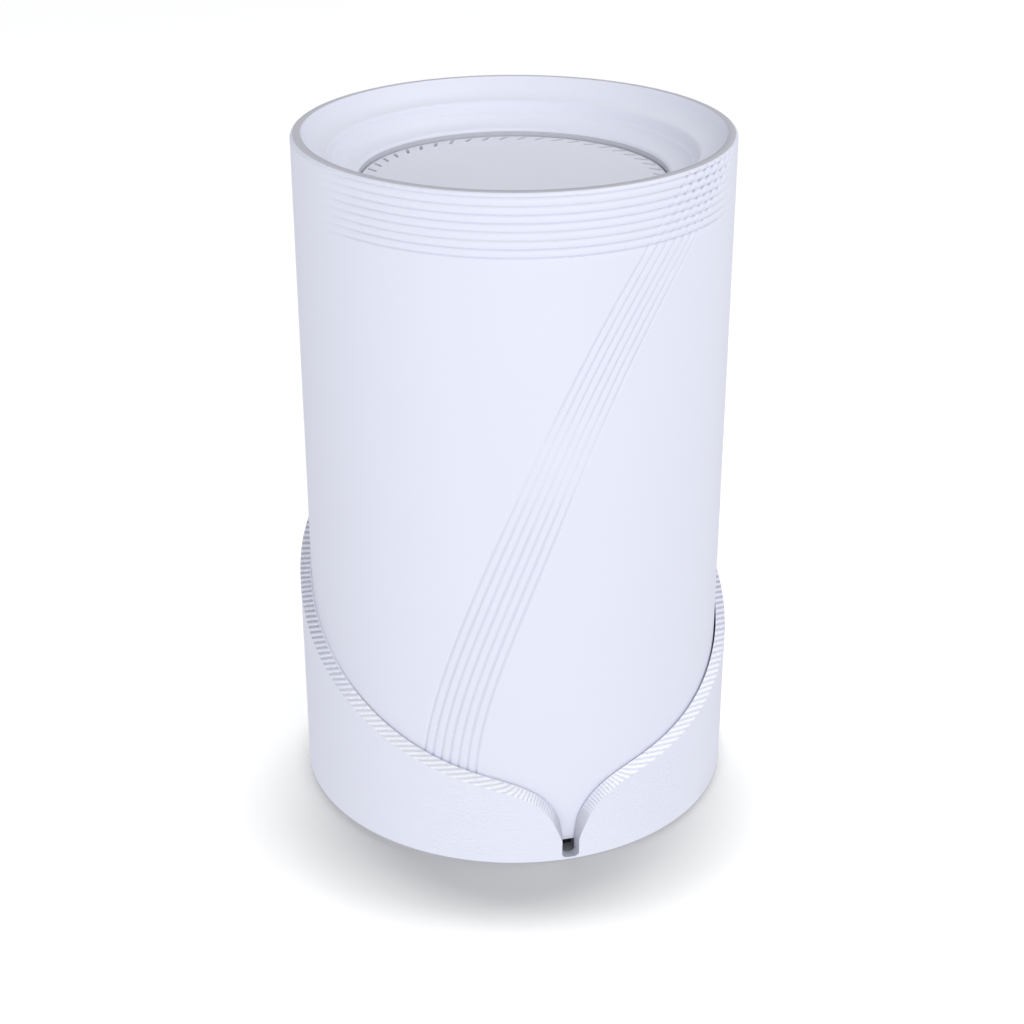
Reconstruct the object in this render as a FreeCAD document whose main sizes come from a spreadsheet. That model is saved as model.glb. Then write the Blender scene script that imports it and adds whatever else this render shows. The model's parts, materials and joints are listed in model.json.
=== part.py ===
import FreeCAD, Part
import math
import os
import re
import Sketcher
from FreeCAD import Placement, Rotation, Vector

# Compact desktop air purifier: a tall sleeve standing in a wave-edged skirt, with a sunken outlet
# in its top. Air enters through the skirt's rear slots, an axial fan in the base blows it up
# through a ring filter, and it leaves by the slots of the top grille.
# The origin is the centre of the footprint on the table, +Z is up and the front faces -Y.
# An azimuth is measured from the front (-Y) towards +X, in degrees.

# Driving dimensions in millimetres, degrees and counts.
DIMENSIONS = {
    # outer skirt and its wave-shaped rim
    "skirt_radius": 82.5,
    "skirt_bore": 78.8,
    "skirt_bottom": 0.5,
    "rim_low": 33.3,
    "rim_rise": 84.1,
    "rim_bevel": 2.4,
    "dip_depth": 25.7,
    "dip_width": 6.0,
    "dip_round": 0.25,
    # status window slot under the lowest point of the rim
    "window_azimuth": 14.7,
    "window_width": 5.4,
    "window_floor": 1.5,
    "window_top": 15.0,
    "window_depth": 10.5,
    # upper sleeve and the outlet in its top
    "sleeve_radius": 78.2,
    "sleeve_bore": 75.6,
    "sleeve_bottom": 6.3,
    "sleeve_top": 254.0,
    "lip_bore": 74.4,
    "lip_thickness": 2.0,
    "lip_round": 0.8,
    "cutout_top": 75.0,
    "cutout_half_angle": 58.0,
    "ridge_radius": 65.3,
    "ridge_drop": 7.8,
    "step_radius": 62.6,
    "step_drop": 11.7,
    "well_radius": 55.1,
    "well_drop": 15.6,
    "disc_drop": 18.0,
    "disc_thickness": 2.2,
    "disc_radius": 55.0,
    "funnel_wall": 2.0,
    "outlet_slots": 48,
    "outlet_slot_start": 50.0,
    "outlet_slot_end": 54.0,
    "outlet_slot_width": 0.9,
    "ear_radius": 71.5,
    "ear_bottom": 236.0,
    "ear_height": 2.5,
    # base plate and what stands on it
    "floor_top": 3.0,
    "ledge_top": 6.0,
    "ledge_bore": 72.5,
    "foot_radius": 5.6,
    "foot_height": 1.7,
    "foot_circle": 64.0,
    "leg_circle": 64.0,
    "leg_radius": 4.0,
    "screw_radius": 1.45,
    "screw_head_radius": 2.8,
    "screw_head_height": 1.3,
    # rear intake
    "intake_half_angle": 48.0,
    "intake_step": 4.0,
    "intake_slot_width": 2.6,
    "intake_slot_height": 19.0,
    "intake_bottom": 27.0,
    "intake_row_pitch": 23.0,
    "mesh_bore": 77.4,
    "mesh_bottom": 24.0,
    "mesh_top": 72.0,
    # fan duct, deck and spigot
    "duct_bore": 46.0,
    "duct_radius": 48.5,
    "mouth_radius": 56.0,
    "mouth_centre": 42.0,
    "deck_radius": 74.2,
    "deck_seal_radius": 75.2,
    "deck_bottom": 76.0,
    "deck_top": 79.0,
    "spigot_radius": 48.0,
    "spigot_top": 84.0,
    # motor and rotor
    "shaft_radius": 1.5,
    "bearing_bore": 1.55,
    "bearing_radius": 4.0,
    "bearing_height": 3.0,
    "tube_radius": 6.0,
    "tube_bottom": 44.0,
    "hub_radius": 26.0,
    "hub_bottom": 57.0,
    "hub_top": 74.0,
    "hub_wall": 2.0,
    "cone_rise": 13.0,
    "vane_count": 7,
    "vane_thickness": 1.6,
    "vane_bottom": 60.0,
    "vane_top": 72.0,
    "can_radius": 20.0,
    "can_bottom": 38.0,
    "can_top": 55.0,
    "can_wall": 1.0,
    "nose_drop": 7.0,
    "nose_round": 11.0,
    "magnet_bore": 16.8,
    "stator_radius": 16.2,
    "stator_core": 9.0,
    "stator_bottom": 46.0,
    "stator_top": 53.0,
    "tooth_count": 9,
    "tooth_width": 2.4,
    "coil_width": 5.0,
    "coil_overhang": 1.1,
    "blade_count": 9,
    "blade_tip": 44.6,
    "blade_thickness": 1.4,
    "blade_bottom": 41.0,
    "blade_top": 54.0,
    # filter cartridge
    "filter_radius": 64.0,
    "filter_bore": 48.6,
    "filter_bottom": 82.0,
    "filter_top": 190.0,
    "cap_wall": 1.2,
    "cap_floor": 2.0,
    "cap_lip": 8.0,
    "recess_radius": 44.0,
    "recess_depth": 4.0,
    "pleat_count": 72,
    "pleat_outer": 60.6,
    "pleat_inner": 51.8,
    "pleat_paper": 0.5,
    "seal_inner": 52.0,
    "seal_outer": 58.0,
    "seal_bottom": 79.6,
    # lifting bail on the filter
    "bail_width": 54.0,
    "bail_reach": 28.0,
    "bail_bar": 3.0,
    "bail_axis_back": 14.0,
    "bail_axis_height": 188.4,
    "bail_pin_radius": 1.5,
    "bail_pin_play": 0.06,
    # electrics
    "board_width": 56.0,
    "board_depth": 32.0,
    "board_front": 64.0,
    "board_bottom": 8.0,
    "board_thickness": 1.6,
    "control_height": 14.0,
    "button_azimuth": 162.0,
    "button_radius": 5.0,
    "button_hole": 5.4,
    "button_proud": 1.5,
    "button_travel": 1.2,
    "jack_width": 9.0,
    "jack_collar": 5.4,
    "jack_bore": 2.75,
    "jack_pin": 1.0,
}

doc = FreeCAD.newDocument("AirPurifier")
sheet = doc.addObject("Spreadsheet::Sheet", "Dims")
for row, (alias, value) in enumerate(DIMENSIONS.items(), start=1):
    sheet.set(f"A{row}", alias)
    sheet.set(f"B{row}", str(value))
    sheet.setAlias(f"B{row}", alias)
doc.recompute()

WORD = re.compile(r"[a-z][a-z_]+")
PARTS = []


def bind(text):
    """Turn 'skirt_radius - 2' into an expression that reads the sheet."""
    return WORD.sub(lambda word: f"Dims.{word[0]}" if word[0] in DIMENSIONS else word[0], str(text))


def size(text):
    """The present value of an expression in the sheet's names."""
    return float(sheet.evalExpression(bind(text)))


def finished(item, label):
    """Name a finished sub-part; its label is the name of its file."""
    item.Label = label
    PARTS.append(item)
    return item


# ---------------------------------------------------------------- sketches and bodies

def new_body(name):
    return doc.addObject("PartDesign::Body", name)


def sketch_on(body, role):
    """A sketch on one of the body's own origin planes."""
    plane = next(item for item in body.Origin.OriginFeatures if item.Role == role)
    sketch = body.newObject("Sketcher::SketchObject", f"{body.Name}_sketch")
    sketch.AttachmentSupport = (plane, "")
    sketch.MapMode = "FlatFace"
    return sketch


def arc_between(start, end, bulge):
    """An arc of radius |bulge| between two points, and whether it runs from start to end.

    A positive bulge turns anticlockwise on the way to the end point.
    """
    radius = abs(bulge)
    half = (end - start) * 0.5
    side = Vector(-half.y, half.x, 0).normalize() * math.copysign(1, bulge)
    centre = start + half + side * math.sqrt(max(radius**2 - half.Length**2, 0))
    first, last = (start, end) if bulge > 0 else (end, start)
    angles = [math.atan2(p.y - centre.y, p.x - centre.x) for p in (first, last)]
    circle = Part.Circle(centre, Vector(0, 0, 1), radius)
    return Part.ArcOfCircle(circle, angles[0], angles[1]), bulge > 0


def draw_outline(sketch, points):
    """A closed outline of (x, y) or (x, y, bulge) points, each bound to the sheet.

    A point's bulge is the radius of the arc that leaves it; without one the side is straight.
    """
    where = [Vector(size(point[0]), size(point[1]), 0) for point in points]
    first = sketch.GeometryCount
    ends = []
    for index, point in enumerate(points):
        start, end = where[index], where[(index + 1) % len(points)]
        if len(point) == 3:
            curve, forward = arc_between(start, end, size(point[2]))
            ends.append((1, 2) if forward else (2, 1))
        else:
            curve = Part.LineSegment(start, end)
            ends.append((1, 2))
        sketch.addGeometry(curve, False)
    for index, point in enumerate(points):
        here, after = first + index, first + (index + 1) % len(points)
        after_start = ends[(index + 1) % len(points)][0]
        sketch.addConstraint(Sketcher.Constraint("Coincident", here, ends[index][1], after, after_start))
    for index, point in enumerate(points):
        here, corner = first + index, ends[index][0]
        for kind, text in (("DistanceX", point[0]), ("DistanceY", point[1])):
            number = sketch.addConstraint(
                Sketcher.Constraint(kind, -1, 1, here, corner, size(text)))
            sketch.setExpression(f"Constraints[{number}]", bind(text))
        if len(point) == 3:
            number = sketch.addConstraint(Sketcher.Constraint("Radius", here, abs(size(point[2]))))
            sketch.setExpression(f"Constraints[{number}]", bind(f"abs({point[2]})"))


def draw_circle(sketch, x, y, radius):
    """A circle with its centre and radius bound to the sheet."""
    circle = Part.Circle(Vector(size(x), size(y), 0), Vector(0, 0, 1), size(radius))
    number = sketch.addGeometry(circle, False)
    for kind, text in (("DistanceX", x), ("DistanceY", y)):
        mark = sketch.addConstraint(Sketcher.Constraint(kind, -1, 1, number, 3, size(text)))
        sketch.setExpression(f"Constraints[{mark}]", bind(text))
    mark = sketch.addConstraint(Sketcher.Constraint("Radius", number, size(radius)))
    sketch.setExpression(f"Constraints[{mark}]", bind(radius))


def turned(name, outline):
    """A body turned about Z from an outline of (radius, height) points."""
    body = new_body(name)
    sketch = sketch_on(body, "XZ_Plane")
    draw_outline(sketch, outline)
    feature = body.newObject("PartDesign::Revolution", f"{name}_turn")
    feature.Profile = sketch
    feature.ReferenceAxis = (sketch, ["V_Axis"])
    feature.Angle = 360
    body.Tip = feature
    return body


def raised(body, draw, bottom, top):
    """Pad whatever draw() puts on the body's XY plane, from one height to another."""
    sketch = sketch_on(body, "XY_Plane")
    sketch.setExpression("AttachmentOffset.Base.z", bind(bottom))
    draw(sketch)
    feature = body.newObject("PartDesign::Pad", f"{body.Name}_pad")
    feature.Profile = sketch
    feature.setExpression("Length", bind(f"{top} - ({bottom})"))
    body.Tip = feature
    return feature


def sunk(body, draw, bottom, top):
    """Pocket whatever draw() puts on the body's XY plane, from one height up to another."""
    sketch = sketch_on(body, "XY_Plane")
    sketch.setExpression("AttachmentOffset.Base.z", bind(top))
    draw(sketch)
    feature = body.newObject("PartDesign::Pocket", f"{body.Name}_pocket")
    feature.Profile = sketch
    feature.setExpression("Length", bind(f"{top} - ({bottom})"))
    body.Tip = feature
    return feature


def around(body, feature, count):
    """Repeat a feature evenly about the body's own Z axis."""
    axis = next(item for item in body.Origin.OriginFeatures if item.Role == "Z_Axis")
    pattern = body.newObject("PartDesign::PolarPattern", f"{body.Name}_ring")
    pattern.Originals = [feature]
    pattern.Axis = (axis, [""])
    pattern.Angle = 360
    pattern.setExpression("Occurrences", bind(count))
    body.Tip = pattern
    return pattern


# ---------------------------------------------------------------- primitives and booleans

def facing(azimuth, radius=0.0, height=0.0):
    """A placement on the azimuth whose own +X points straight outwards."""
    turn = math.radians(azimuth)
    spot = Vector(radius * math.sin(turn), -radius * math.cos(turn), height)
    return Placement(spot, Rotation(Vector(0, 0, 1), azimuth - 90))


def block(name, length, width, height, placement):
    """A box that starts at its placement, runs out along X and is centred on Y."""
    box = doc.addObject("Part::Box", name)
    for prop, text in (("Length", length), ("Width", width), ("Height", height)):
        box.setExpression(prop, bind(text))
    box.Placement = placement * Placement(Vector(0, -size(width) / 2, 0), Rotation())
    return box


def rod(name, radius, length, placement, axis=Vector(0, 0, 1)):
    """A cylinder that starts at its placement and runs along one of its axes."""
    cylinder = doc.addObject("Part::Cylinder", name)
    cylinder.setExpression("Radius", bind(radius))
    cylinder.setExpression("Height", bind(length))
    cylinder.Placement = placement * Placement(Vector(), Rotation(Vector(0, 0, 1), axis))
    return cylinder


def less(name, base, *tools):
    """The base with every tool cut away from it."""
    for number, tool in enumerate(tools):
        cut = doc.addObject("Part::Cut", f"{name}_cut{number}")
        cut.Base = base
        cut.Tool = tool
        base = cut
    return base


def joined(name, *pieces):
    """One solid made of overlapping pieces."""
    fuse = doc.addObject("Part::MultiFuse", name)
    fuse.Shapes = list(pieces)
    fuse.Refine = True
    return fuse


def gathered(name, *pieces):
    """Separate solids kept together in one node."""
    group = doc.addObject("Part::Compound", name)
    group.Links = list(pieces)
    return group


def copies(name, source, placements):
    """One feature that holds a copy of the source at each placement."""
    doc.recompute()
    shapes = []
    for placement in placements:
        shape = source.Shape.copy()
        shape.Placement = placement * shape.Placement
        shapes.append(shape)
    feature = doc.addObject("Part::Feature", name)
    feature.Shape = Part.makeCompound(shapes)
    return feature


OUTWARD = Vector(1, 0, 0)
LEG_AZIMUTHS = (75, 195, 315)
FOOT_AZIMUTHS = (30, 120, 240, 330)


# ---------------------------------------------------------------- skirt

def rim_height(away):
    """Height of the rim's inner edge, by the angle away from the status window.

    A tilted plane cuts the skirt, and a narrow valley with a rounded floor runs down
    into the window.
    """
    height = size("rim_low") + size("rim_rise") * (1 - math.cos(math.radians(away))) / 2
    rounded = math.hypot(away, size("dip_round"))
    return height - size("dip_depth") * math.exp(-rounded / size("dip_width"))


def rim_cutter():
    """Everything above the wave-shaped, outward-sloping rim, as a solid tool."""
    steps, crowding = 56, 1.7
    inner, outer = size("skirt_bore - 2"), size("skirt_radius + 2")
    fall = size("rim_bevel / (skirt_radius - skirt_bore)")
    ladder = [180 * (step / steps) ** crowding for step in range(steps + 1)]
    turns = [-away for away in reversed(ladder)] + ladder[1:-1]
    edges = []
    for radius, drop in ((inner, -2 * fall), (outer, size("rim_bevel") + 2 * fall)):
        row = []
        for away in turns:
            turn = math.radians(size("window_azimuth") + away)
            row.append(Vector(radius * math.sin(turn), -radius * math.cos(turn), rim_height(away) - drop))
        curve = Part.BSplineCurve()
        curve.interpolate(row, PeriodicFlag=True)
        edges.append(curve.toShape())
    tool = doc.addObject("Part::Feature", "RimCutter")
    tool.Shape = Part.makeRuledSurface(*edges).extrude(Vector(0, 0, size("rim_low + rim_rise + 10")))
    return tool


def intake_slots(name, inner, outer, width, bottoms, height):
    """Upright slots in rows across the rear, as one tool."""
    half, step = size("intake_half_angle"), size("intake_step")
    count = int(round(2 * half / step)) + 1
    boxes = []
    for bottom in bottoms:
        for number in range(count):
            box = Part.makeBox(outer - inner, width, height, Vector(0, -width / 2, 0))
            box.Placement = facing(180 - half + step * number, inner, bottom)
            boxes.append(box)
    tool = doc.addObject("Part::Feature", name)
    tool.Shape = Part.makeCompound(boxes)
    return tool


def lower_skirt():
    """The outer skirt, with its wave rim, status window, intake slots and control holes."""
    tube = turned("SkirtTube", [
        ("skirt_bore", "skirt_bottom"),
        ("skirt_radius - 1", "skirt_bottom", 1.0),
        ("skirt_radius", "skirt_bottom + 1"),
        ("skirt_radius", "rim_low + rim_rise + 4"),
        ("skirt_bore", "rim_low + rim_rise + 4"),
    ])
    window = block("SkirtWindow", "window_depth", "window_width", "window_top - window_floor",
                   facing(size("window_azimuth"), size("skirt_radius - window_depth + 1"),
                          size("window_floor")))
    bottoms = [size("intake_bottom"), size("intake_bottom + intake_row_pitch")]
    slots = intake_slots("SkirtSlots", size("skirt_bore - 2"), size("skirt_radius + 2"),
                         size("intake_slot_width"), bottoms, size("intake_slot_height"))
    button = rod("SkirtButtonHole", "button_hole", 20,
                 facing(size("button_azimuth"), 70, size("control_height")), OUTWARD)
    jack = rod("SkirtJackHole", "jack_collar + 0.2", 20, facing(180, 70, size("control_height")), OUTWARD)
    skirt = less("Skirt", tube, rim_cutter(), window, slots, button, jack)
    finished(skirt, "lower_skirt")


def base_plate():
    """The floor of the base, with the ledge round its edge and the standoffs of the boards."""
    body = turned("BasePlate", [
        (0, "skirt_bottom"),
        ("skirt_bore", "skirt_bottom"),
        ("skirt_bore", "ledge_top"),
        ("ledge_bore", "ledge_top"),
        ("ledge_bore", "floor_top"),
        (0, "floor_top"),
    ])

    def standoffs(sketch):
        for x, y in board_corners():
            draw_circle(sketch, x, y, 2.5)

    def standoff_holes(sketch):
        for x, y in board_corners():
            draw_circle(sketch, x, y, 1.0)

    raised(body, standoffs, "floor_top", "board_bottom")
    sunk(body, standoff_holes, "floor_top", "board_bottom")
    window = block("PlateWindow", "window_depth", "window_width", 10,
                   facing(size("window_azimuth"), size("skirt_radius - window_depth"), size("window_floor")))
    recess = rod("FootRecess", "foot_radius", "foot_height", Placement())
    feet = copies("FootRecesses", recess, [facing(a, size("foot_circle")) for a in FOOT_AZIMUTHS])
    hole = turned("LegScrewHole", [
        (0, 0),
        ("screw_head_radius + 0.3", 0),
        ("screw_head_radius + 0.3", "skirt_bottom + screw_head_height + 0.2"),
        ("screw_radius + 0.25", "skirt_bottom + screw_head_height + 0.2"),
        ("screw_radius + 0.25", "ledge_top"),
        (0, "ledge_top"),
    ])
    holes = copies("LegScrewHoles", hole, [facing(a, size("leg_circle")) for a in LEG_AZIMUTHS])
    jack = block("JackPocket", 12, "jack_width + 0.2", "ledge_top", facing(180, 67.8, size("floor_top")))
    finished(less("Plate", body, window, jack, feet, holes), "base_plate")


def rubber_feet():
    """Four soft pads stuck in the recesses of the base plate."""
    foot = turned("Foot", [
        (0, 0),
        ("foot_radius - 0.5", 0, 0.5),
        ("foot_radius", 0.5),
        ("foot_radius", "foot_height"),
        (0, "foot_height"),
    ])
    finished(copies("Feet", foot, [facing(a, size("foot_circle")) for a in FOOT_AZIMUTHS]), "rubber_feet")


def screw(name, length):
    """A pan-head screw, head down, with its head's underside at height 0 of its own frame."""
    return turned(name, [
        (0, "-screw_head_height"),
        (1.0, "-screw_head_height"),
        (1.0, "-screw_head_height + 0.7"),
        (1.3, "-screw_head_height + 0.7"),
        (1.3, "-screw_head_height"),
        ("screw_head_radius - 0.5", "-screw_head_height"),
        ("screw_head_radius", "-screw_head_height + 0.5"),
        ("screw_head_radius", 0),
        ("screw_radius", 0),
        ("screw_radius", f"{length} - 1"),
        ("screw_radius - 0.8", length),
        (0, length),
    ])


def base_screws():
    """Three screws from below into the legs of the fan casing."""
    source = screw("LegScrew", 10)
    seat = size("skirt_bottom + screw_head_height + 0.2")
    places = [facing(a, size("leg_circle"), seat) for a in LEG_AZIMUTHS]
    finished(copies("BaseScrews", source, places), "base_screws")


def intake_mesh():
    """A curved frame with a coarse grid, held against the inside of the skirt behind the slots."""
    body = new_body("IntakeFrame")
    sketch = sketch_on(body, "XZ_Plane")
    draw_outline(sketch, [
        ("mesh_bore", "mesh_bottom"),
        ("skirt_bore", "mesh_bottom"),
        ("skirt_bore", "mesh_top"),
        ("mesh_bore", "mesh_top"),
    ])
    turn = body.newObject("PartDesign::Revolution", "IntakeFrame_turn")
    turn.Profile = sketch
    turn.ReferenceAxis = (sketch, ["V_Axis"])
    turn.setExpression("Angle", bind("2 * intake_half_angle + 8"))
    body.Tip = turn
    sweep = size("2 * intake_half_angle + 8")
    body.Placement = Placement(Vector(), Rotation(Vector(0, 0, 1), 90 - sweep / 2))
    window_height = 8.0
    rows = [size("mesh_bottom") + 3.2 + number * (window_height + 1.1) for number in range(5)]
    windows = intake_slots("IntakeWindows", size("mesh_bore - 1"), size("skirt_bore + 1"),
                           4.4, rows, window_height)
    finished(less("IntakeGrid", body, windows), "intake_mesh")


# ---------------------------------------------------------------- fan casing

def fan_casing():
    """Bell mouth, duct, dividing deck and filter spigot in one moulding on three legs."""
    body = turned("Casing", [
        ("duct_bore", "spigot_top"),
        ("duct_bore", "mouth_centre", "mouth_radius - duct_bore"),
        ("mouth_radius", "mouth_centre - mouth_radius + duct_bore"),
        ("mouth_radius", "mouth_centre - mouth_radius + duct_radius", "duct_radius - mouth_radius"),
        ("duct_radius", "mouth_centre"),
        ("duct_radius", "deck_bottom"),
        ("deck_radius", "deck_bottom"),
        ("deck_radius", "deck_top"),
        ("spigot_radius", "deck_top"),
        ("spigot_radius", "spigot_top"),
    ])
    leg = rod("CasingLeg", "leg_radius", "deck_bottom - floor_top + 1", Placement())
    spots = [facing(azimuth, size("leg_circle"), size("floor_top")) for azimuth in LEG_AZIMUTHS]
    legs = copies("CasingLegs", leg, spots)
    bore = rod("CasingBore", "screw_radius", 12, Placement())
    bores = copies("CasingBores", bore, [facing(a, size("leg_circle"), 0) for a in LEG_AZIMUTHS])
    solid = joined("CasingBlank", body, legs)
    finished(less("FanCasing", solid, bores), "fan_casing")


def deck_seal():
    """A soft ring round the deck that closes the gap to the sleeve."""
    ring = turned("DeckSeal", [
        ("deck_radius", "deck_bottom"),
        ("deck_seal_radius - 0.4", "deck_bottom"),
        ("deck_seal_radius", "deck_bottom + 1.5"),
        ("deck_seal_radius - 0.4", "deck_top"),
        ("deck_radius", "deck_top"),
    ])
    finished(ring, "deck_seal")


def motor_bracket():
    """Bearing tube, motor hub, guide vanes and the ring that fixes them in the duct."""
    body = turned("Bracket", [
        ("bearing_radius", "tube_bottom"),
        ("tube_radius", "tube_bottom"),
        ("tube_radius", "hub_bottom"),
        ("hub_radius", "hub_bottom"),
        ("hub_radius", "hub_top"),
        ("hub_radius - hub_wall", "hub_top"),
        ("hub_radius - hub_wall", "hub_bottom + hub_wall"),
        ("tube_radius", "hub_bottom + hub_wall"),
        ("tube_radius", "hub_top - 2"),
        ("bearing_radius", "hub_top - 2"),
    ])

    def ring(sketch):
        draw_circle(sketch, 0, 0, "duct_bore")
        draw_circle(sketch, 0, 0, "duct_bore - 1.2")

    def vane(sketch):
        draw_outline(sketch, [
            ("hub_radius - 1", "-vane_thickness / 2"),
            ("duct_bore - 0.6", "-vane_thickness / 2"),
            ("duct_bore - 0.6", "vane_thickness / 2"),
            ("hub_radius - 1", "vane_thickness / 2"),
        ])

    vanes = raised(body, vane, "vane_bottom", "vane_top")
    around(body, vanes, "vane_count")
    raised(body, ring, "vane_bottom", "vane_top")
    finished(body, "motor_bracket")


def sphere_over(radius, rise):
    """The radius of the sphere that domes a circle of one radius to one rise."""
    return f"(({radius}) * ({radius}) + ({rise}) * ({rise})) / (2 * ({rise}))"


def tail_cone():
    """A domed cover on the motor hub that smooths the air stream above it."""
    inner, outer = "hub_radius - hub_wall", "hub_radius"
    rise_inner, rise_outer = "cone_rise - hub_wall", "cone_rise"
    dome = turned("TailCone", [
        (0, f"hub_top + {rise_outer}"),
        (0, f"hub_top + {rise_inner}", f"-{sphere_over(inner, rise_inner)}"),
        (inner, "hub_top"),
        (outer, "hub_top", sphere_over(outer, rise_outer)),
    ])
    finished(dome, "tail_cone")


def motor_bearings():
    """Two plain bearing rings at the ends of the bearing tube."""
    ring = turned("Bearing", [
        ("bearing_bore", 0),
        ("bearing_radius", 0),
        ("bearing_radius", "bearing_height"),
        ("bearing_bore", "bearing_height"),
    ])
    heights = (size("tube_bottom + 0.5"), size("hub_top - 2.5 - bearing_height"))
    places = [Placement(Vector(0, 0, height), Rotation()) for height in heights]
    finished(copies("Bearings", ring, places), "motor_bearings")


def motor_stator():
    """The slotted iron core on the bearing tube."""
    body = new_body("Stator")

    def core(sketch):
        draw_circle(sketch, 0, 0, "stator_core")
        draw_circle(sketch, 0, 0, "tube_radius")

    def tooth(sketch):
        draw_outline(sketch, [
            ("stator_core - 1", "-tooth_width / 2"),
            ("stator_radius - 1.4", "-tooth_width / 2"),
            ("stator_radius - 1.4", "-tooth_width * 1.6"),
            ("stator_radius - 0.7", "-tooth_width * 1.6"),
            ("stator_radius", 0),
            ("stator_radius - 0.7", "tooth_width * 1.6"),
            ("stator_radius - 1.4", "tooth_width * 1.6"),
            ("stator_radius - 1.4", "tooth_width / 2"),
            ("stator_core - 1", "tooth_width / 2"),
        ])

    raised(body, core, "stator_bottom", "stator_top")
    teeth = raised(body, tooth, "stator_bottom", "stator_top")
    around(body, teeth, "tooth_count")
    finished(body, "motor_stator")


def motor_windings():
    """A copper coil round each tooth of the stator."""
    outer = block("CoilBlock", "stator_radius - stator_core - 2.2", "coil_width",
                  "stator_top - stator_bottom + 2 * coil_overhang",
                  Placement(Vector(size("stator_core + 0.5"), 0, size("stator_bottom - coil_overhang")),
                            Rotation()))
    inner = block("CoilHole", "stator_radius", "tooth_width", "stator_top - stator_bottom",
                  Placement(Vector(size("stator_core - 1"), 0, size("stator_bottom")), Rotation()))
    coil = less("Coil", outer, inner)
    count = int(size("tooth_count"))
    places = [Placement(Vector(), Rotation(Vector(0, 0, 1), 360 * number / count)) for number in range(count)]
    finished(copies("Windings", coil, places), "motor_windings")


# ---------------------------------------------------------------- rotor

def motor_shaft():
    """The steel shaft that turns in both bearings."""
    shaft = turned("Shaft", [
        (0, "can_bottom - 2"),
        ("shaft_radius", "can_bottom - 2"),
        ("shaft_radius", "hub_top - 1.5"),
        (0, "hub_top - 1.5"),
    ])
    finished(shaft, "motor_shaft")


def rotor_can():
    """A steel cup on the shaft, open upwards."""
    cup = turned("RotorCan", [
        ("shaft_radius", "can_bottom"),
        ("can_radius", "can_bottom"),
        ("can_radius", "can_top"),
        ("can_radius - can_wall", "can_top"),
        ("can_radius - can_wall", "can_bottom + can_wall"),
        ("shaft_radius + 2.5", "can_bottom + can_wall"),
        ("shaft_radius + 2.5", "can_bottom + 4"),
        ("shaft_radius", "can_bottom + 4"),
    ])
    finished(cup, "rotor_can")


def magnet_ring():
    """The ring magnet inside the rotor can."""
    ring = turned("Magnet", [
        ("magnet_bore", "can_bottom + 3"),
        ("can_radius - can_wall", "can_bottom + 3"),
        ("can_radius - can_wall", "can_top - 0.5"),
        ("magnet_bore", "can_top - 0.5"),
    ])
    finished(ring, "magnet_ring")


def impeller():
    """A rounded hub over the rotor can with curved blades round it."""
    body = turned("Impeller", [
        (0, "can_bottom - nose_drop"),
        ("can_radius + 2 - nose_round", "can_bottom - nose_drop", "nose_round"),
        ("can_radius + 2", "can_bottom - nose_drop + nose_round"),
        ("can_radius + 2", "can_top"),
        ("can_radius", "can_top"),
        ("can_radius", "can_bottom"),
        ("shaft_radius", "can_bottom"),
        ("shaft_radius", "can_bottom - 2"),
        (0, "can_bottom - 2"),
    ])
    lean = math.radians(34)
    tip_x, tip_y = f"blade_tip * {math.cos(lean):.5f}", f"-blade_tip * {math.sin(lean):.5f}"

    def blade(sketch):
        draw_outline(sketch, [
            ("can_radius + 1.2", "-blade_thickness / 2", -38),
            (tip_x, f"{tip_y} - blade_thickness / 2"),
            (tip_x, f"{tip_y} + blade_thickness / 2", 38),
            ("can_radius + 1.2", "blade_thickness / 2"),
        ])

    blades = raised(body, blade, "blade_bottom", "blade_top")
    around(body, blades, "blade_count")
    finished(body, "impeller")


# ---------------------------------------------------------------- filter cartridge

def filter_bottom_cap():
    """The lower end ring of the cartridge, open in the middle over the spigot."""
    cap = turned("BottomCap", [
        ("filter_bore", "filter_bottom"),
        ("filter_radius", "filter_bottom"),
        ("filter_radius", "filter_bottom + cap_lip"),
        ("filter_radius - cap_wall", "filter_bottom + cap_lip"),
        ("filter_radius - cap_wall", "filter_bottom + cap_floor"),
        ("filter_bore + cap_wall", "filter_bottom + cap_floor"),
        ("filter_bore + cap_wall", "filter_bottom + cap_lip"),
        ("filter_bore", "filter_bottom + cap_lip"),
    ])
    finished(cap, "filter_bottom_cap")


def filter_top_cap():
    """The closed upper end of the cartridge, with a round recess and two lugs for the bail."""
    cap = turned("TopCap", [
        (0, "filter_top - recess_depth - cap_floor"),
        ("recess_radius + cap_floor", "filter_top - recess_depth - cap_floor"),
        ("recess_radius + cap_floor", "filter_top - cap_floor"),
        ("filter_radius - cap_wall", "filter_top - cap_floor"),
        ("filter_radius - cap_wall", "filter_top - cap_lip"),
        ("filter_radius", "filter_top - cap_lip"),
        ("filter_radius", "filter_top"),
        ("recess_radius", "filter_top"),
        ("recess_radius", "filter_top - recess_depth"),
        (0, "filter_top - recess_depth"),
    ])
    lugs, holes = [], []
    for side in (-1, 1):
        outer = size("bail_width / 2") + 1.0
        spot = Vector(outer if side > 0 else -outer - 3.4, -size("bail_axis_back"),
                      size("filter_top - recess_depth"))
        lugs.append(block(f"Lug{side + 1}", 3.4, 6, "recess_depth + 0.6", Placement(spot, Rotation())))
        start = Vector(spot.x - 1, spot.y, size("bail_axis_height"))
        holes.append(rod(f"LugHole{side + 1}", "bail_pin_radius + bail_pin_play", 6,
                         Placement(start, Rotation()), OUTWARD))
    finished(less("CapWithLugs", joined("CapBlank", cap, *lugs), *holes), "filter_top_cap")


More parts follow.
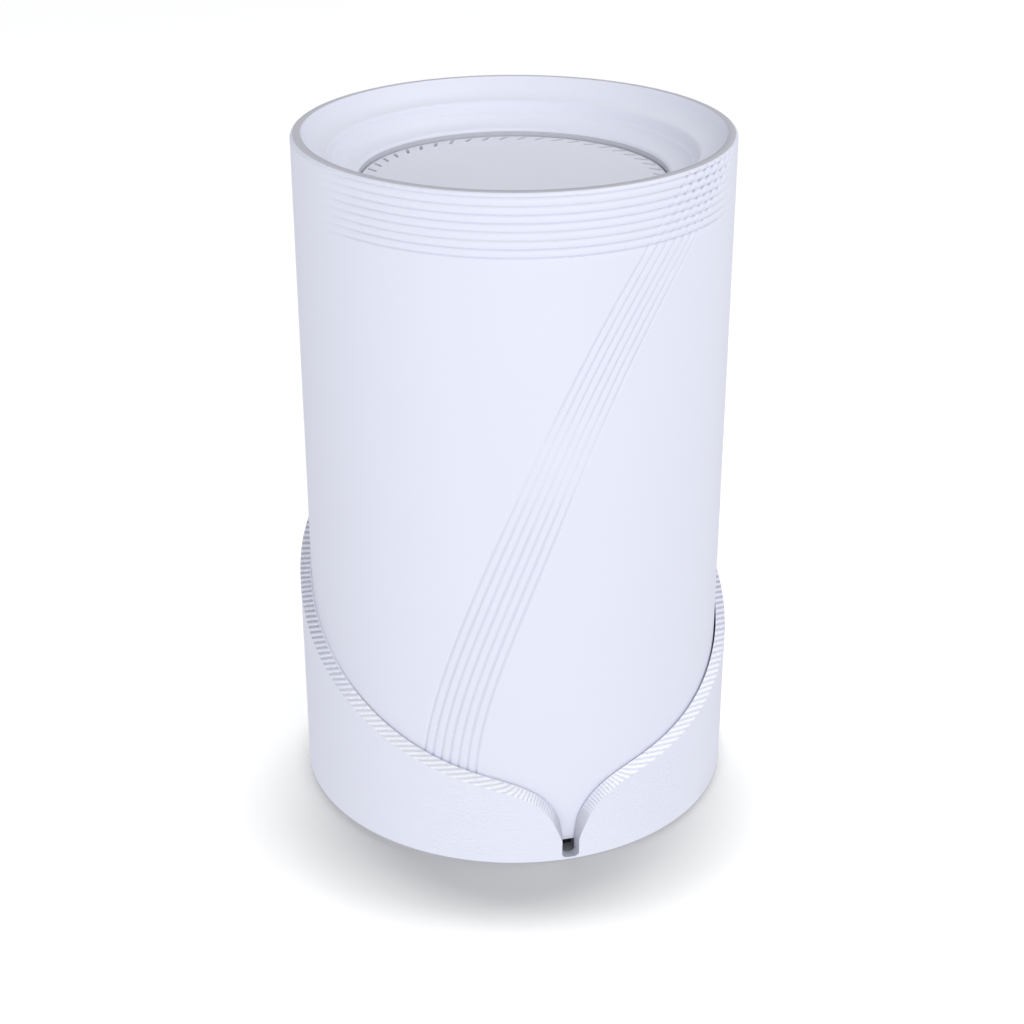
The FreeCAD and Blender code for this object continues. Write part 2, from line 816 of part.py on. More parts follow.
def pleated_media():
    """A zigzag band of filter paper standing between the end caps."""
    count = int(size("pleat_count"))
    paper = size("pleat_paper")
    outline = []
    for shift in (paper, 0):
        ring = []
        for fold in range(2 * count):
            radius = size("pleat_outer" if fold % 2 else "pleat_inner") + shift
            turn = math.pi * fold / count
            ring.append(Vector(radius * math.cos(turn), radius * math.sin(turn), 0))
        outline.append(Part.Face(Part.makePolygon(ring + ring[:1])))
    bottom, top = size("filter_bottom + cap_floor"), size("filter_top - cap_floor")
    feature = doc.addObject("Part::Feature", "Pleats")
    feature.Shape = outline[0].cut(outline[1]).Faces[0].extrude(Vector(0, 0, top - bottom))
    feature.Placement = Placement(Vector(0, 0, bottom), Rotation())
    finished(feature, "pleated_media")


def filter_layer(name, label, inner, outer):
    """A plain layer of the cartridge between its two end caps."""
    layer = turned(name, [
        (inner, "filter_bottom + cap_floor"),
        (outer, "filter_bottom + cap_floor"),
        (outer, "filter_top - cap_floor"),
        (inner, "filter_top - cap_floor"),
    ])
    finished(layer, label)


def filter_core():
    """The perforated tube inside the cartridge."""
    body = turned("Core", [
        ("filter_bore", "filter_bottom + cap_lip"),
        ("filter_bore + cap_wall", "filter_bottom + cap_lip"),
        ("filter_bore + cap_wall", "filter_top - cap_floor"),
        ("filter_bore", "filter_top - cap_floor"),
    ])
    columns, rows, height, pitch = 18, 5, 15.0, 18.5
    window = block("CoreWindow", 6, 11, height, Placement())
    lowest = size("filter_bottom + cap_lip + 3")
    places = [facing(360 * column / columns, size("filter_bore - 2"), lowest + pitch * row)
              for row in range(rows) for column in range(columns)]
    finished(less("PerforatedCore", body, copies("CoreWindows", window, places)), "filter_core")


def filter_seal():
    """The soft gasket under the cartridge."""
    seal = turned("FilterSeal", [
        ("seal_inner", "seal_bottom + 0.5"),
        ("seal_inner + 1", "seal_bottom"),
        ("seal_outer - 1", "seal_bottom"),
        ("seal_outer", "seal_bottom + 0.5"),
        ("seal_outer", "filter_bottom"),
        ("seal_inner", "filter_bottom"),
    ])
    finished(seal, "filter_seal")


def filter_handle():
    """A bail that lies in the cap's recess and swings up on two pins to lift the cartridge."""
    body = new_body("Bail")

    def loop(sketch):
        outer, inner, back, front = ("bail_width / 2", "bail_width / 2 - bail_bar", "-bail_axis_back - bail_bar / 2",
                                     "bail_reach - bail_axis_back + bail_bar / 2")
        draw_outline(sketch, [
            (outer, back),
            (outer, f"{front} - 8", 8),
            (f"{outer} - 8", front),
            (f"8 - {outer}", front, 8),
            (f"-{outer}", f"{front} - 8"),
            (f"-{outer}", back),
            (f"-({inner})", back),
            (f"-({inner})", f"{front} - 8", -5),
            (f"8 - {outer}", f"{front} - bail_bar"),
            (f"{outer} - 8", f"{front} - bail_bar", -5),
            (inner, f"{front} - 8"),
            (inner, back),
        ])

    raised(body, loop, "bail_axis_height - bail_bar / 2", "bail_axis_height + bail_bar / 2")
    pins = []
    for side in (-1, 1):
        start = Vector(-size("bail_width / 2") - 3.4 if side < 0 else size("bail_width / 2") - 0.6,
                       -size("bail_axis_back"), size("bail_axis_height"))
        pins.append(rod(f"BailPin{side + 1}", "bail_pin_radius", 4.0, Placement(start, Rotation()), OUTWARD))
    finished(joined("BailWithPins", body, *pins), "filter_handle")


# ---------------------------------------------------------------- sleeve

def upper_sleeve():
    """The tall outer tube with an inward lip, screw ears inside and a rear cut-out over the base."""
    body = turned("Sleeve", [
        ("sleeve_bore", "sleeve_bottom"),
        ("sleeve_radius", "sleeve_bottom"),
        ("sleeve_radius", "sleeve_top - lip_round", "lip_round"),
        ("sleeve_radius - lip_round", "sleeve_top"),
        ("lip_bore", "sleeve_top"),
        ("lip_bore", "sleeve_top - lip_thickness"),
        ("sleeve_bore", "sleeve_top - lip_thickness"),
    ])
    ear = block("Ear", "sleeve_bore - ear_radius + 4.5", 8, "ear_height", Placement())
    ears = copies("Ears", ear, ring_of_ears("ear_radius - 4", "ear_bottom"))
    hole = rod("EarHole", "screw_radius + 0.25", 10, Placement())
    holes = copies("EarHoles", hole, ring_of_ears("ear_radius", "ear_bottom - 3"))
    sweep = size("2 * cutout_half_angle")
    cutout = doc.addObject("Part::Cylinder", "SleeveCutout")
    cutout.setExpression("Radius", bind("sleeve_radius + 5"))
    cutout.setExpression("Height", bind("cutout_top"))
    cutout.setExpression("Angle", bind("2 * cutout_half_angle"))
    cutout.Placement = Placement(Vector(), Rotation(Vector(0, 0, 1), 90 - sweep / 2))
    finished(less("SleeveShell", joined("SleeveBlank", body, ears), holes, cutout), "upper_sleeve")


def ring_of_ears(radius, height):
    """Placements of the four screw ears under the funnel."""
    return [facing(azimuth, size(radius), size(height)) for azimuth in (45, 135, 225, 315)]


def outlet_funnel():
    """The sunken bowl in the top, clipped under the lip, with four screw posts below."""
    body = turned("Funnel", [
        ("lip_bore", "sleeve_top"),
        ("ridge_radius", "sleeve_top - ridge_drop", -9),
        ("step_radius", "sleeve_top - step_drop"),
        ("well_radius", "sleeve_top - well_drop"),
        ("well_radius", "sleeve_top - disc_drop - disc_thickness"),
        ("well_radius - 0.7", "sleeve_top - disc_drop - disc_thickness"),
        ("well_radius - 0.7", "sleeve_top - disc_drop - disc_thickness - funnel_wall"),
        ("well_radius + funnel_wall", "sleeve_top - disc_drop - disc_thickness - funnel_wall"),
        ("well_radius + funnel_wall", "sleeve_top - well_drop - 1.8"),
        ("step_radius + 1.2", "sleeve_top - step_drop - 2"),
        ("ridge_radius + 1.6", "sleeve_top - ridge_drop - 1.6"),
        ("lip_bore - 0.4", "sleeve_top - lip_thickness - 2.2"),
        ("sleeve_bore - 0.2", "sleeve_top - lip_thickness - 2.2"),
        ("sleeve_bore - 0.2", "sleeve_top - lip_thickness"),
        ("lip_bore", "sleeve_top - lip_thickness"),
    ])
    post = rod("Post", 3, 10.5, Placement())
    posts = copies("Posts", post, ring_of_ears("ear_radius", "ear_bottom + ear_height"))
    bore = rod("PostBore", "screw_radius", 8, Placement())
    bores = copies("PostBores", bore, ring_of_ears("ear_radius", "ear_bottom + ear_height"))
    finished(less("FunnelShell", joined("FunnelBlank", body, posts), bores), "outlet_funnel")


def funnel_screws():
    """Four screws from below through the ears into the funnel's posts."""
    source = screw("EarScrew", 9)
    finished(copies("FunnelScrews", source, ring_of_ears("ear_radius", "ear_bottom")), "funnel_screws")


def outlet_grille():
    """The round plate at the bottom of the bowl, with short radial slots near its edge."""
    body = turned("Grille", [
        (0, "sleeve_top - disc_drop - disc_thickness"),
        ("disc_radius", "sleeve_top - disc_drop - disc_thickness"),
        ("disc_radius", "sleeve_top - disc_drop - 0.4"),
        ("disc_radius - 0.4", "sleeve_top - disc_drop"),
        (0, "sleeve_top - disc_drop"),
    ])

    def slot(sketch):
        draw_outline(sketch, [
            ("outlet_slot_start", "-outlet_slot_width / 2"),
            ("outlet_slot_end", "-outlet_slot_width / 2"),
            ("outlet_slot_end", "outlet_slot_width / 2"),
            ("outlet_slot_start", "outlet_slot_width / 2"),
        ])

    cut = sunk(body, slot, "sleeve_top - disc_drop - disc_thickness - 1", "sleeve_top - disc_drop + 1")
    around(body, cut, "outlet_slots")
    finished(body, "outlet_grille")


def foam_ring():
    """Sound-absorbing foam stuck inside the sleeve above the filter."""
    ring = turned("Foam", [
        ("filter_radius + 7", "filter_top + 6"),
        ("sleeve_bore", "filter_top + 4"),
        ("sleeve_bore", "filter_top + 36"),
        ("filter_radius + 7", "filter_top + 34"),
    ])
    finished(ring, "foam_ring")


# ---------------------------------------------------------------- electrics

def board_corners():
    """Screw positions of the main board."""
    half, near, far = "board_width / 2 - 4", "board_depth - board_front - 4", "4 - board_front"
    return [(half, near), (f"-({half})", near), (half, far), (f"-({half})", far)]


def main_board():
    """The main circuit board on its standoffs at the front of the base."""
    body = new_body("Board")

    def blank(sketch):
        half, near, far = "board_width / 2", "board_depth - board_front", "-board_front"
        draw_outline(sketch, [(f"-{half}", far), (half, far), (half, near), (f"-{half}", near)])

    def holes(sketch):
        for x, y in board_corners():
            draw_circle(sketch, x, y, 1.2)

    raised(body, blank, "board_bottom", "board_bottom + board_thickness")
    sunk(body, holes, "board_bottom", "board_bottom + board_thickness")
    finished(body, "main_board")


def board_screws():
    """Four small screws that hold the main board down."""
    source = turned("BoardScrew", [
        (0, "-3.5"),
        (1.0, "-3.5"),
        (1.0, 0),
        (2.0, 0),
        (2.0, 0.9, 1.2),
        (1.2, 1.5),
        (0, 1.5),
    ])
    top = size("board_bottom + board_thickness")
    places = [Placement(Vector(size(x), size(y), top), Rotation()) for x, y in board_corners()]
    finished(copies("BoardScrews", source, places), "board_screws")


def on_board(x, y):
    """A placement on top of the main board, from its front edge's middle."""
    spot = Vector(x, size("-board_front") + y, size("board_bottom + board_thickness"))
    return Placement(spot, Rotation())


def board_parts():
    """Capacitors, chips, connectors and the inductor on the main board."""
    cans = [rod(f"Capacitor{n}", 3.6 - 0.5 * (n == 2), 11 - 2 * (n == 2), on_board(-18 + 9 * n, 24))
            for n in range(3)]
    finished(gathered("Capacitors", *cans), "board_capacitors")
    chips = [
        block("ControlChip", 9, 9, 1.4, on_board(-6, 12)),
        block("DriverChip", 6, 5, 1.6, on_board(9, 11)),
        block("Regulator", 5, 6.5, 2.2, on_board(-17, 12)),
    ]
    finished(gathered("Chips", *chips), "board_chips")
    sockets = [
        block("FanSocket", 9, 6, 6.5, on_board(12, 24)),
        block("PowerSocket", 7, 6, 6.5, on_board(-16, 4.5)),
        block("SensorSocket", 10, 5, 5.5, on_board(2, 4)),
    ]
    finished(gathered("Sockets", *sockets), "board_connectors")
    coil = rod("Inductor", 4.2, 4.5, on_board(19.5, 9.5))
    finished(coil, "board_inductor")


def status_window():
    """The dark lens in the slot of the skirt, its lamp and the lamp's own board."""
    azimuth = size("window_azimuth")
    lens_inner = size("skirt_radius - window_depth")
    lens = block("Lens", 1.6, "window_width", "ledge_top - window_floor",
                 facing(azimuth, lens_inner, size("window_floor")))
    finished(lens, "status_lens")
    lamp = block("Lamp", 0.9, 3, 2, facing(azimuth, lens_inner - 1.1, size("floor_top") + 0.5))
    finished(lamp, "status_led")
    board = block("LampBoard", 1.2, 12, 14, facing(azimuth, lens_inner - 2.3, size("floor_top")))
    finished(board, "light_board")


def power_inlet():
    """The low-voltage inlet at the rear, with its collar in the skirt, and its centre pin."""
    height = size("control_height")
    shell = block("JackShell", 10.4, "jack_width", "control_height + 5.5 - floor_top",
                  facing(180, 68, size("floor_top")))
    collar = rod("JackCollar", "jack_collar", 4.4, facing(180, 77.6, height), OUTWARD)
    bore = rod("JackBore", "jack_bore", 20, facing(180, 73, height), OUTWARD)
    finished(less("Jack", joined("JackBlank", shell, collar), bore), "power_inlet")
    pin = rod("JackPin", "jack_pin", 7.5, facing(180, 73, height), OUTWARD)
    finished(pin, "inlet_pin")


def power_controls():
    """The rear push button, the switch that it presses and the switch's board."""
    azimuth, height = size("button_azimuth"), size("control_height")
    cap = rod("ButtonCap", "button_radius", "button_proud + skirt_radius - 77.4",
              facing(azimuth, 77.4, height), OUTWARD)
    flange = rod("ButtonFlange", "button_radius + 1", 1.0, facing(azimuth, 77.2, height), OUTWARD)
    stem = rod("ButtonStem", 1.5, 3.2, facing(azimuth, 74.4, height), OUTWARD)
    finished(joined("Button", cap, flange, stem), "power_button")
    shell = block("SwitchShell", 3.9, 6, 6, facing(azimuth, 67.5, height - 3))
    tip = rod("SwitchTip", 1.6, 2.0, facing(azimuth, 70.9, height), OUTWARD)
    finished(joined("Switch", shell, tip), "tact_switch")
    board = block("SwitchBoard", 1.5, 14, 17, facing(azimuth, 66, size("floor_top")))
    finished(board, "switch_board")


def air_sensor():
    """A small particle sensor in the intake space, with a round inlet on top."""
    place = facing(235, 48, size("floor_top"))
    shell = block("SensorShell", 18, 24, 11, place)
    inlet = rod("SensorInlet", 3, 8, place * Placement(Vector(9, 5, 6), Rotation()))
    finished(less("Sensor", shell, inlet), "air_sensor")


# ---------------------------------------------------------------- build and write

for make in (lower_skirt, base_plate, rubber_feet, base_screws, intake_mesh, fan_casing, deck_seal,
             motor_bracket, tail_cone, motor_bearings, motor_stator, motor_windings, motor_shaft,
             rotor_can, magnet_ring, impeller,
             filter_bottom_cap, filter_top_cap, pleated_media, filter_core, filter_seal, filter_handle,
             upper_sleeve, outlet_funnel, funnel_screws, outlet_grille, foam_ring, main_board, board_screws,
             board_parts, status_window, power_inlet, power_controls, air_sensor):
    make()
filter_layer("Carbon", "carbon_layer", "filter_bore + cap_wall + 0.1", "pleat_inner - 0.4")
filter_layer("Prefilter", "prefilter_mesh", "pleat_outer + 0.7", "filter_radius - cap_wall - 0.1")

doc.recompute()
for item in doc.Objects:
    if "Invalid" in item.State or "Error" in item.State:
        raise RuntimeError(f"{item.Name} failed to build: {item.State}")
for item in PARTS:
    if item.Shape.isNull() or not item.Shape.isValid() or item.Shape.Volume <= 0:
        raise RuntimeError(f"{item.Label} has no valid solid")

os.makedirs("parts", exist_ok=True)
for item in PARTS:
    item.Shape.exportStep(f"parts/{item.Label}.step")
print(f"{len(PARTS)} sub-parts written")
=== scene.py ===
import json
import math

import bmesh
import bpy
import numpy as np
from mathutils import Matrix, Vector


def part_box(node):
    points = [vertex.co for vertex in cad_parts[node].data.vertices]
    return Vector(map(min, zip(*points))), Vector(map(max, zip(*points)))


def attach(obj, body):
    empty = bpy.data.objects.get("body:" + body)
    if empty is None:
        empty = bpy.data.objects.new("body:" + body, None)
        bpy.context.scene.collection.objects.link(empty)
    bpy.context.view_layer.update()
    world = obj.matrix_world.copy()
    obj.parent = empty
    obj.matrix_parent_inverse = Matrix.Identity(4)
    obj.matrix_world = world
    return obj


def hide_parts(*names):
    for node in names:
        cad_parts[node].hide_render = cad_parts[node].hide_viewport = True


# Compact desktop air purifier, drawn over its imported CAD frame. Lengths here are in
# millimetres and angles in degrees. An azimuth is measured from the front (-Y) towards +X.

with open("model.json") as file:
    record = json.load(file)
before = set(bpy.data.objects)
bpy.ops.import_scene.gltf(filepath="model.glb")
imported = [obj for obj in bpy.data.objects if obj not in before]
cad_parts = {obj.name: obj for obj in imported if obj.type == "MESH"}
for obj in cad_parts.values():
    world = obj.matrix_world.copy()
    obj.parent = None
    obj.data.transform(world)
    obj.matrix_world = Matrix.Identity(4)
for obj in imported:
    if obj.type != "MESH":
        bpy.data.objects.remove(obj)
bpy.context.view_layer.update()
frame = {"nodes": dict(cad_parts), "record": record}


def span(node):
    """Lowest and highest corner of a CAD node, in millimetres."""
    low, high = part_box(node)
    return low * 1000, high * 1000


SLEEVE_LOW, SLEEVE_HIGH = span("upper_sleeve")
SKIRT_LOW, SKIRT_HIGH = span("lower_skirt")
GRILLE_LOW, GRILLE_HIGH = span("outlet_grille")
SLEEVE_WALL, LIP_WIDTH, SKIRT_WALL = 2.6, 3.8, 3.7
SLEEVE_R, SLEEVE_BORE, LIP_BORE = SLEEVE_HIGH.x, SLEEVE_HIGH.x - SLEEVE_WALL, SLEEVE_HIGH.x - LIP_WIDTH
SLEEVE_TOP, SLEEVE_BOTTOM = SLEEVE_HIGH.z, SLEEVE_LOW.z
SKIRT_R, SKIRT_BORE, SKIRT_BOTTOM = SKIRT_HIGH.x, SKIRT_HIGH.x - SKIRT_WALL, SKIRT_LOW.z
WINDOW = 14.7
EAR_RADIUS = 71.5


# ------------------------------------------------------------------ meshes

def around(azimuth, radius, height):
    """Points on cylinders round the axis, in metres."""
    turn = np.radians(azimuth)
    turn, radius, height = np.broadcast_arrays(turn, radius, height)
    return np.stack([radius * np.sin(turn), -radius * np.cos(turn), height], -1) * 0.001


def ramp(low, high, value):
    """Smooth step from 0 to 1."""
    part = np.clip((value - low) / (high - low), 0, 1)
    return part * part * (3 - 2 * part)


def arc_degrees(length, radius):
    """Angle that an arc of this length spans on a circle."""
    return np.degrees(length / radius)


class Skin:
    """Collects points and faces of one mesh."""

    def __init__(self):
        self.points, self.faces, self.tags, self.count, self.tag = [], [], [], 0, 0

    def add(self, points):
        """Adds points and returns the number of the first one."""
        points = np.asarray(points, float).reshape(-1, 3)
        first = self.count
        self.points.append(points)
        self.count += len(points)
        return first

    def grid(self, points, keep=None, wrap=False, tags=None):
        """A sheet of quads over an array of rows and columns of points, with a material for each quad."""
        rows, columns = points.shape[:2]
        index = np.arange(rows * columns).reshape(rows, columns) + self.add(points)
        if wrap:
            index = np.concatenate([index, index[:, :1]], 1)
        quads = np.stack([index[:-1, :-1], index[:-1, 1:], index[1:, 1:], index[1:, :-1]], -1)
        tags = np.zeros(quads.shape[:2], int) if tags is None else tags
        if keep is not None:
            quads, tags = quads[keep], tags[keep]
        self.faces += quads.reshape(-1, 4).tolist()
        self.tags += tags.ravel().tolist()

    def polygon(self, points):
        """One face over several runs of points."""
        points = np.concatenate([np.asarray(part, float).reshape(-1, 3) for part in points])
        first = self.add(points)
        self.faces.append(list(range(first, first + len(points))))
        self.tags.append(self.tag)

    def zip(self, coarse, fine, counts):
        """Joins a coarse row of points to a fine one that has counts[i] steps per coarse step."""
        low, high = self.add(coarse), self.add(fine)
        start = 0
        for number, count in enumerate(counts):
            top = [high + start + step for step in range(count, -1, -1)]
            self.faces.append([low + number, low + number + 1] + top)
            self.tags.append(self.tag)
            start += count

    def build(self, name, sharp):
        """Makes a smooth object, with creases where faces meet at more than the sharp angle."""
        mesh = bpy.data.meshes.new(name)
        mesh.from_pydata(np.concatenate(self.points).tolist(), [], self.faces)
        work = bmesh.new()
        work.from_mesh(mesh)
        for face, tag in zip(work.faces, self.tags):
            face.material_index = tag
        bmesh.ops.remove_doubles(work, verts=work.verts, dist=2e-6)
        bmesh.ops.dissolve_degenerate(work, edges=work.edges, dist=1e-6)
        loose = [vert for vert in work.verts if not vert.link_faces]
        bmesh.ops.delete(work, geom=loose, context="VERTS")
        bmesh.ops.recalc_face_normals(work, faces=work.faces)
        work.to_mesh(mesh)
        work.free()
        mesh.polygons.foreach_set("use_smooth", [True] * len(mesh.polygons))
        mesh.set_sharp_from_angle(angle=math.radians(sharp))
        item = bpy.data.objects.new(name, mesh)
        bpy.context.scene.collection.objects.link(item)
        return item


def hole_walls(skin, keep, outer, inner, wrap=False):
    """Closes the holes of a two-sided sheet between its outer and inner points."""
    columns = keep.shape[1]
    width = outer.shape[1]
    for row, column in zip(*np.nonzero(~keep)):
        right = (column + 1) % width if wrap else column + 1
        sides = (
            (row - 1, column, (row, column), (row, right)),
            (row + 1, column, (row + 1, column), (row + 1, right)),
            (row, column - 1, (row, column), (row + 1, column)),
            (row, column + 1, (row, right), (row + 1, right)),
        )
        for near_row, near_column, start, end in sides:
            if keep[near_row, near_column % columns]:
                skin.polygon([outer[start], outer[end], inner[end], inner[start]])


# ------------------------------------------------------------------ sleeve

# Places that the left and the right line of the diagonal groove band pass, as height, azimuth.
BAND_LEFT = ((43, -24.6), (88, -15.8), (131, -4), (159, 4.9), (202, 19.8), (235, 36), (253, 47.5))
BAND_RIGHT = ((38, -10.2), (82, -2.9), (120, 7.3), (161, 18.6), (192, 30.2), (224, 46), (253, 70.5))
RING_TOP, RING_PITCH, RING_COUNT = 1.65, 2.85, 8
BAND_LINES = 7
# Tags of the sleeve's faces, in the order of its finishes: painted shade on the lip's top, the grooves and
# the dimples.
LIP, GROOVE, DIMPLE, FAINT = 1, 2, 3, 4


def band_line(places):
    """A smooth line through the places, as azimuth by height."""
    heights, azimuths = np.array(places).T
    return np.polynomial.Polynomial.fit(heights, azimuths, 4)


def sleeve_relief(azimuth, height, left, right):
    """Depth of the grooves and of the dimples where they cross, and how much painted shade each place gets.
    """
    folded = (azimuth + 180) % 360 - 180
    step = (SLEEVE_TOP - RING_TOP - height) / RING_PITCH
    last = RING_COUNT - 1
    scallop = np.abs(2 * (step - np.floor(step)) - 1) ** 1.5
    scallop = np.where(step < 0, np.clip(1 + step / 0.3, 0, 1) ** 1.6, scallop)
    scallop = np.where(step > last, np.exp(-np.abs(step - last) * 3.2), scallop)
    gap = (step - np.clip(np.round(step), 0, last)) * RING_PITCH
    line = np.exp(-(gap / 0.28) ** 2)
    reach = ramp(-60, -38, folded) * (1 - ramp(56, 74, folded))
    rings = reach * (0.40 * scallop + 0.22 * line)

    place = (azimuth - left) / (right - left) * (BAND_LINES - 1)
    near = np.clip(np.round(place), 0, BAND_LINES - 1)
    slant = 0.92
    width = np.radians(right - left) * SLEEVE_R * slant
    across = np.abs(place - near) / (BAND_LINES - 1) * width
    strength = 1 - 0.55 * np.exp(-((height - 160) / 20) ** 2)
    diagonal = 0.46 * strength * np.exp(-(across / 0.46) ** 2)
    crossing = ramp(224, 238, height) * ramp(22, 54, folded)
    deepest = 0.8 + 1.1 * ramp(35, 65, folded) * ramp(234, 252, height)
    dimples = deepest * crossing * np.exp(-(across / 0.85) ** 2) * np.exp(-(gap / 0.75) ** 2)
    calm = 1 - 0.8 * ramp(230, 235, height)
    diagonal *= calm * ramp(-0.6, 0, place) * (1 - ramp(6, 6.6, place))
    # Painted shade in the cores of the ring lines and of the diagonal grooves.
    shade = np.maximum(reach * np.exp(-(gap / 0.34) ** 2), 2.4 * diagonal) * 0.6
    return rings + diagonal + dimples, np.maximum(shade, dimples)


def sleeve_shell():
    """The sleeve with its lip, its grooves and dimples, and the opening low in its back."""
    cutout_top, cutout_low, cutout_high = 75.0, 122.0, 238.0
    cutout_rows, bend_rows = 24, 6
    band_columns, side_columns, cutout_columns, back_columns = 132, 30, 40, 60
    relief_bottom, relief_step = 228, 0.2
    lip_round, lip_fall, lip_height, chamfer = 1.4, 1.5, 2, 0.4
    body = np.concatenate([
        np.linspace(SLEEVE_BOTTOM + chamfer, cutout_top, cutout_rows),
        np.linspace(cutout_top, relief_bottom, 52)[1:],
        np.arange(relief_bottom + relief_step, SLEEVE_TOP - lip_fall, relief_step),
    ])
    bend = np.radians(np.linspace(0, 72, bend_rows))
    profile = [(SLEEVE_R - chamfer, SLEEVE_BOTTOM)]
    profile += [(SLEEVE_R, height) for height in body]
    round_r, round_z = SLEEVE_R - lip_round, SLEEVE_TOP - lip_fall
    profile += [
        (round_r + lip_round * math.cos(turn), round_z + lip_round * math.sin(turn))
        for turn in bend
    ]
    profile += [
        (LIP_BORE + 0.3, SLEEVE_TOP),
        (LIP_BORE + 0.02, SLEEVE_TOP - 0.3),
        (LIP_BORE + 0.02, SLEEVE_TOP - lip_height),
    ]
    outer_count = 1 + len(body)
    inner_heights = (SLEEVE_TOP - lip_height, relief_bottom, 150, cutout_top)
    profile += [(SLEEVE_BORE, height) for height in inner_heights]
    inner_top = len(profile) - 1
    profile += [(SLEEVE_BORE, SLEEVE_BOTTOM + chamfer), (SLEEVE_BORE + chamfer, SLEEVE_BOTTOM)]
    radius, height = np.array(profile).T
    left = band_line(BAND_LEFT)(height)[:, None]
    right = band_line(BAND_RIGHT)(height)[:, None]
    start, end = left - 3, right + 3
    one = np.ones_like(left)
    sectors = [
        start + (end - start) * np.linspace(0, 1, band_columns + 1)[:-1],
        end + (cutout_low - end) * np.linspace(0, 1, side_columns + 1)[:-1],
        one * np.linspace(cutout_low, cutout_high, cutout_columns + 1)[:-1],
        cutout_high + (360 + start - cutout_high) * np.linspace(0, 1, back_columns + 1)[:-1],
    ]
    azimuth = np.concatenate(sectors, 1)
    depth, shade = sleeve_relief(azimuth, height[:, None], left, right)
    row = np.arange(len(height))
    on_face = (row >= 1) & (row < outer_count + bend_rows)
    depth = np.where(on_face[:, None], depth, 0)
    shade = np.where(on_face[:, None], shade, 0)
    shade = (shade + np.roll(shade, -1, 1))[:-1] / 2
    shade = (shade + np.concatenate([shade[1:], shade[-1:]])) / 2
    # Faces with enough painted shade get the darker groove, dimple and faint groove finishes.
    tags = np.select([shade > 0.8, shade > 0.40, shade > 0.2], [DIMPLE, GROOVE, FAINT], 0)
    points = around(azimuth, radius[:, None] - depth, height[:, None])
    first = band_columns + side_columns
    last = first + cutout_columns
    keep = np.ones((len(height) - 1, azimuth.shape[1]), bool)
    below_cutout = (row[:-1] < cutout_rows) | (row[:-1] >= inner_top)
    keep[below_cutout, first:last] = False
    skin = Skin()
    skin.grid(points, keep, wrap=True, tags=tags)
    closing = np.stack([points[-1], points[0]])
    cells = np.ones((1, azimuth.shape[1]), bool)
    cells[0, first:last] = False
    skin.grid(closing, cells, wrap=True)
    for column in (first, last):
        skin.polygon([points[:cutout_rows + 1, column], points[inner_top:, column]])
    skin.grid(np.stack([points[cutout_rows, first:last + 1], points[inner_top, first:last + 1]]))
    for number in range(4):
        skin_ear(skin, 45 + 90 * number)
    return skin.build("sleeve_shell", 62)


def skin_ear(skin, azimuth):
    """One of the four screw ears inside the top of the sleeve."""
    turns = np.linspace(0, 360, 25)[:-1]
    low, high = 236.0, 238.5
    half, reach, root, hole = 4.0, 67.5, SLEEVE_BORE + 0.6, 1.7
    ways = ((reach - EAR_RADIUS, root - EAR_RADIUS), (-half, half))
    edge = []
    for turn in np.radians(turns):
        way = np.array([math.cos(turn), math.sin(turn)])
        limits = []
        for value, (low_limit, high_limit) in zip(way, ways):
            if value > 1e-6:
                limits.append(high_limit / value)
            if value < -1e-6:
                limits.append(low_limit / value)
        edge.append(way * min(limits) + (EAR_RADIUS, 0))
    rim = [(EAR_RADIUS + hole * math.cos(turn), hole * math.sin(turn)) for turn in np.radians(turns)]
    spin = math.radians(azimuth)
    rings = []
    for outline, height in ((rim, low), (edge, low), (edge, high), (rim, high), (rim, low)):
        flat = np.array(outline)
        x = flat[:, 0] * math.sin(spin) + flat[:, 1] * math.cos(spin)
        y = -flat[:, 0] * math.cos(spin) + flat[:, 1] * math.sin(spin)
        rings.append(np.stack([x, y, np.full(len(x), height)], -1) * 0.001)
    skin.grid(np.array(rings), wrap=True)


# ------------------------------------------------------------------ skirt

# The rim is a tilted plane with a valley, a steep plunge into the window slot and a raised crest
# towards the back. The plunge, the crest and the ribs are not in the CAD.
RIM_LOW, RIM_RISE, DIP_DEPTH, DIP_WIDTH = 33.3, 84.1, 24.7, 6.0
RIM_WIDTH, SLOT_FLARE = 2.4, 0.65
TERRACE, RIB_PITCH = 1.13, 1.35
SLOT_FLOOR, SLOT_CORNER, SLOT_HALF = 1.5, 1.7, 2.35
# Tags of the rim's painted shade and painted light.
RIB_SHADE, RIB_LIGHT = 1, 2
SLOT_TURN = math.degrees(SLOT_HALF / SKIRT_BORE)
CREST = 2.2
PLUNGE, PLUNGE_WIDTH = 6.2, 0.5
FOOT = ((SKIRT_R - 0.5, SKIRT_BOTTOM), (SKIRT_R - 0.15, SKIRT_BOTTOM + 0.15), (SKIRT_R, SKIRT_BOTTOM + 0.5))


def rim_bore(turn):
    """Radius of the rim's inner edge, which stands closer to the sleeve at the left and at the back."""
    away = np.minimum(turn, 360 - turn)
    right = np.where(turn <= 180, 1, 0)
    return SLEEVE_R + 0.72 - 0.66 * ramp(35 + 50 * right, 78 + 30 * right, away)


def rim_slope(away):
    """Climb of the rim's inner edge, in millimetres per millimetre of its circle."""
    climb = RIM_RISE * np.sin(np.radians(away)) / 2 * math.pi / 180
    climb = climb + DIP_DEPTH / DIP_WIDTH * np.exp(-away / DIP_WIDTH)
    climb = climb + PLUNGE / PLUNGE_WIDTH * np.exp(-(away - SLOT_TURN) / PLUNGE_WIDTH)
    return climb / (SKIRT_BORE * math.pi / 180)


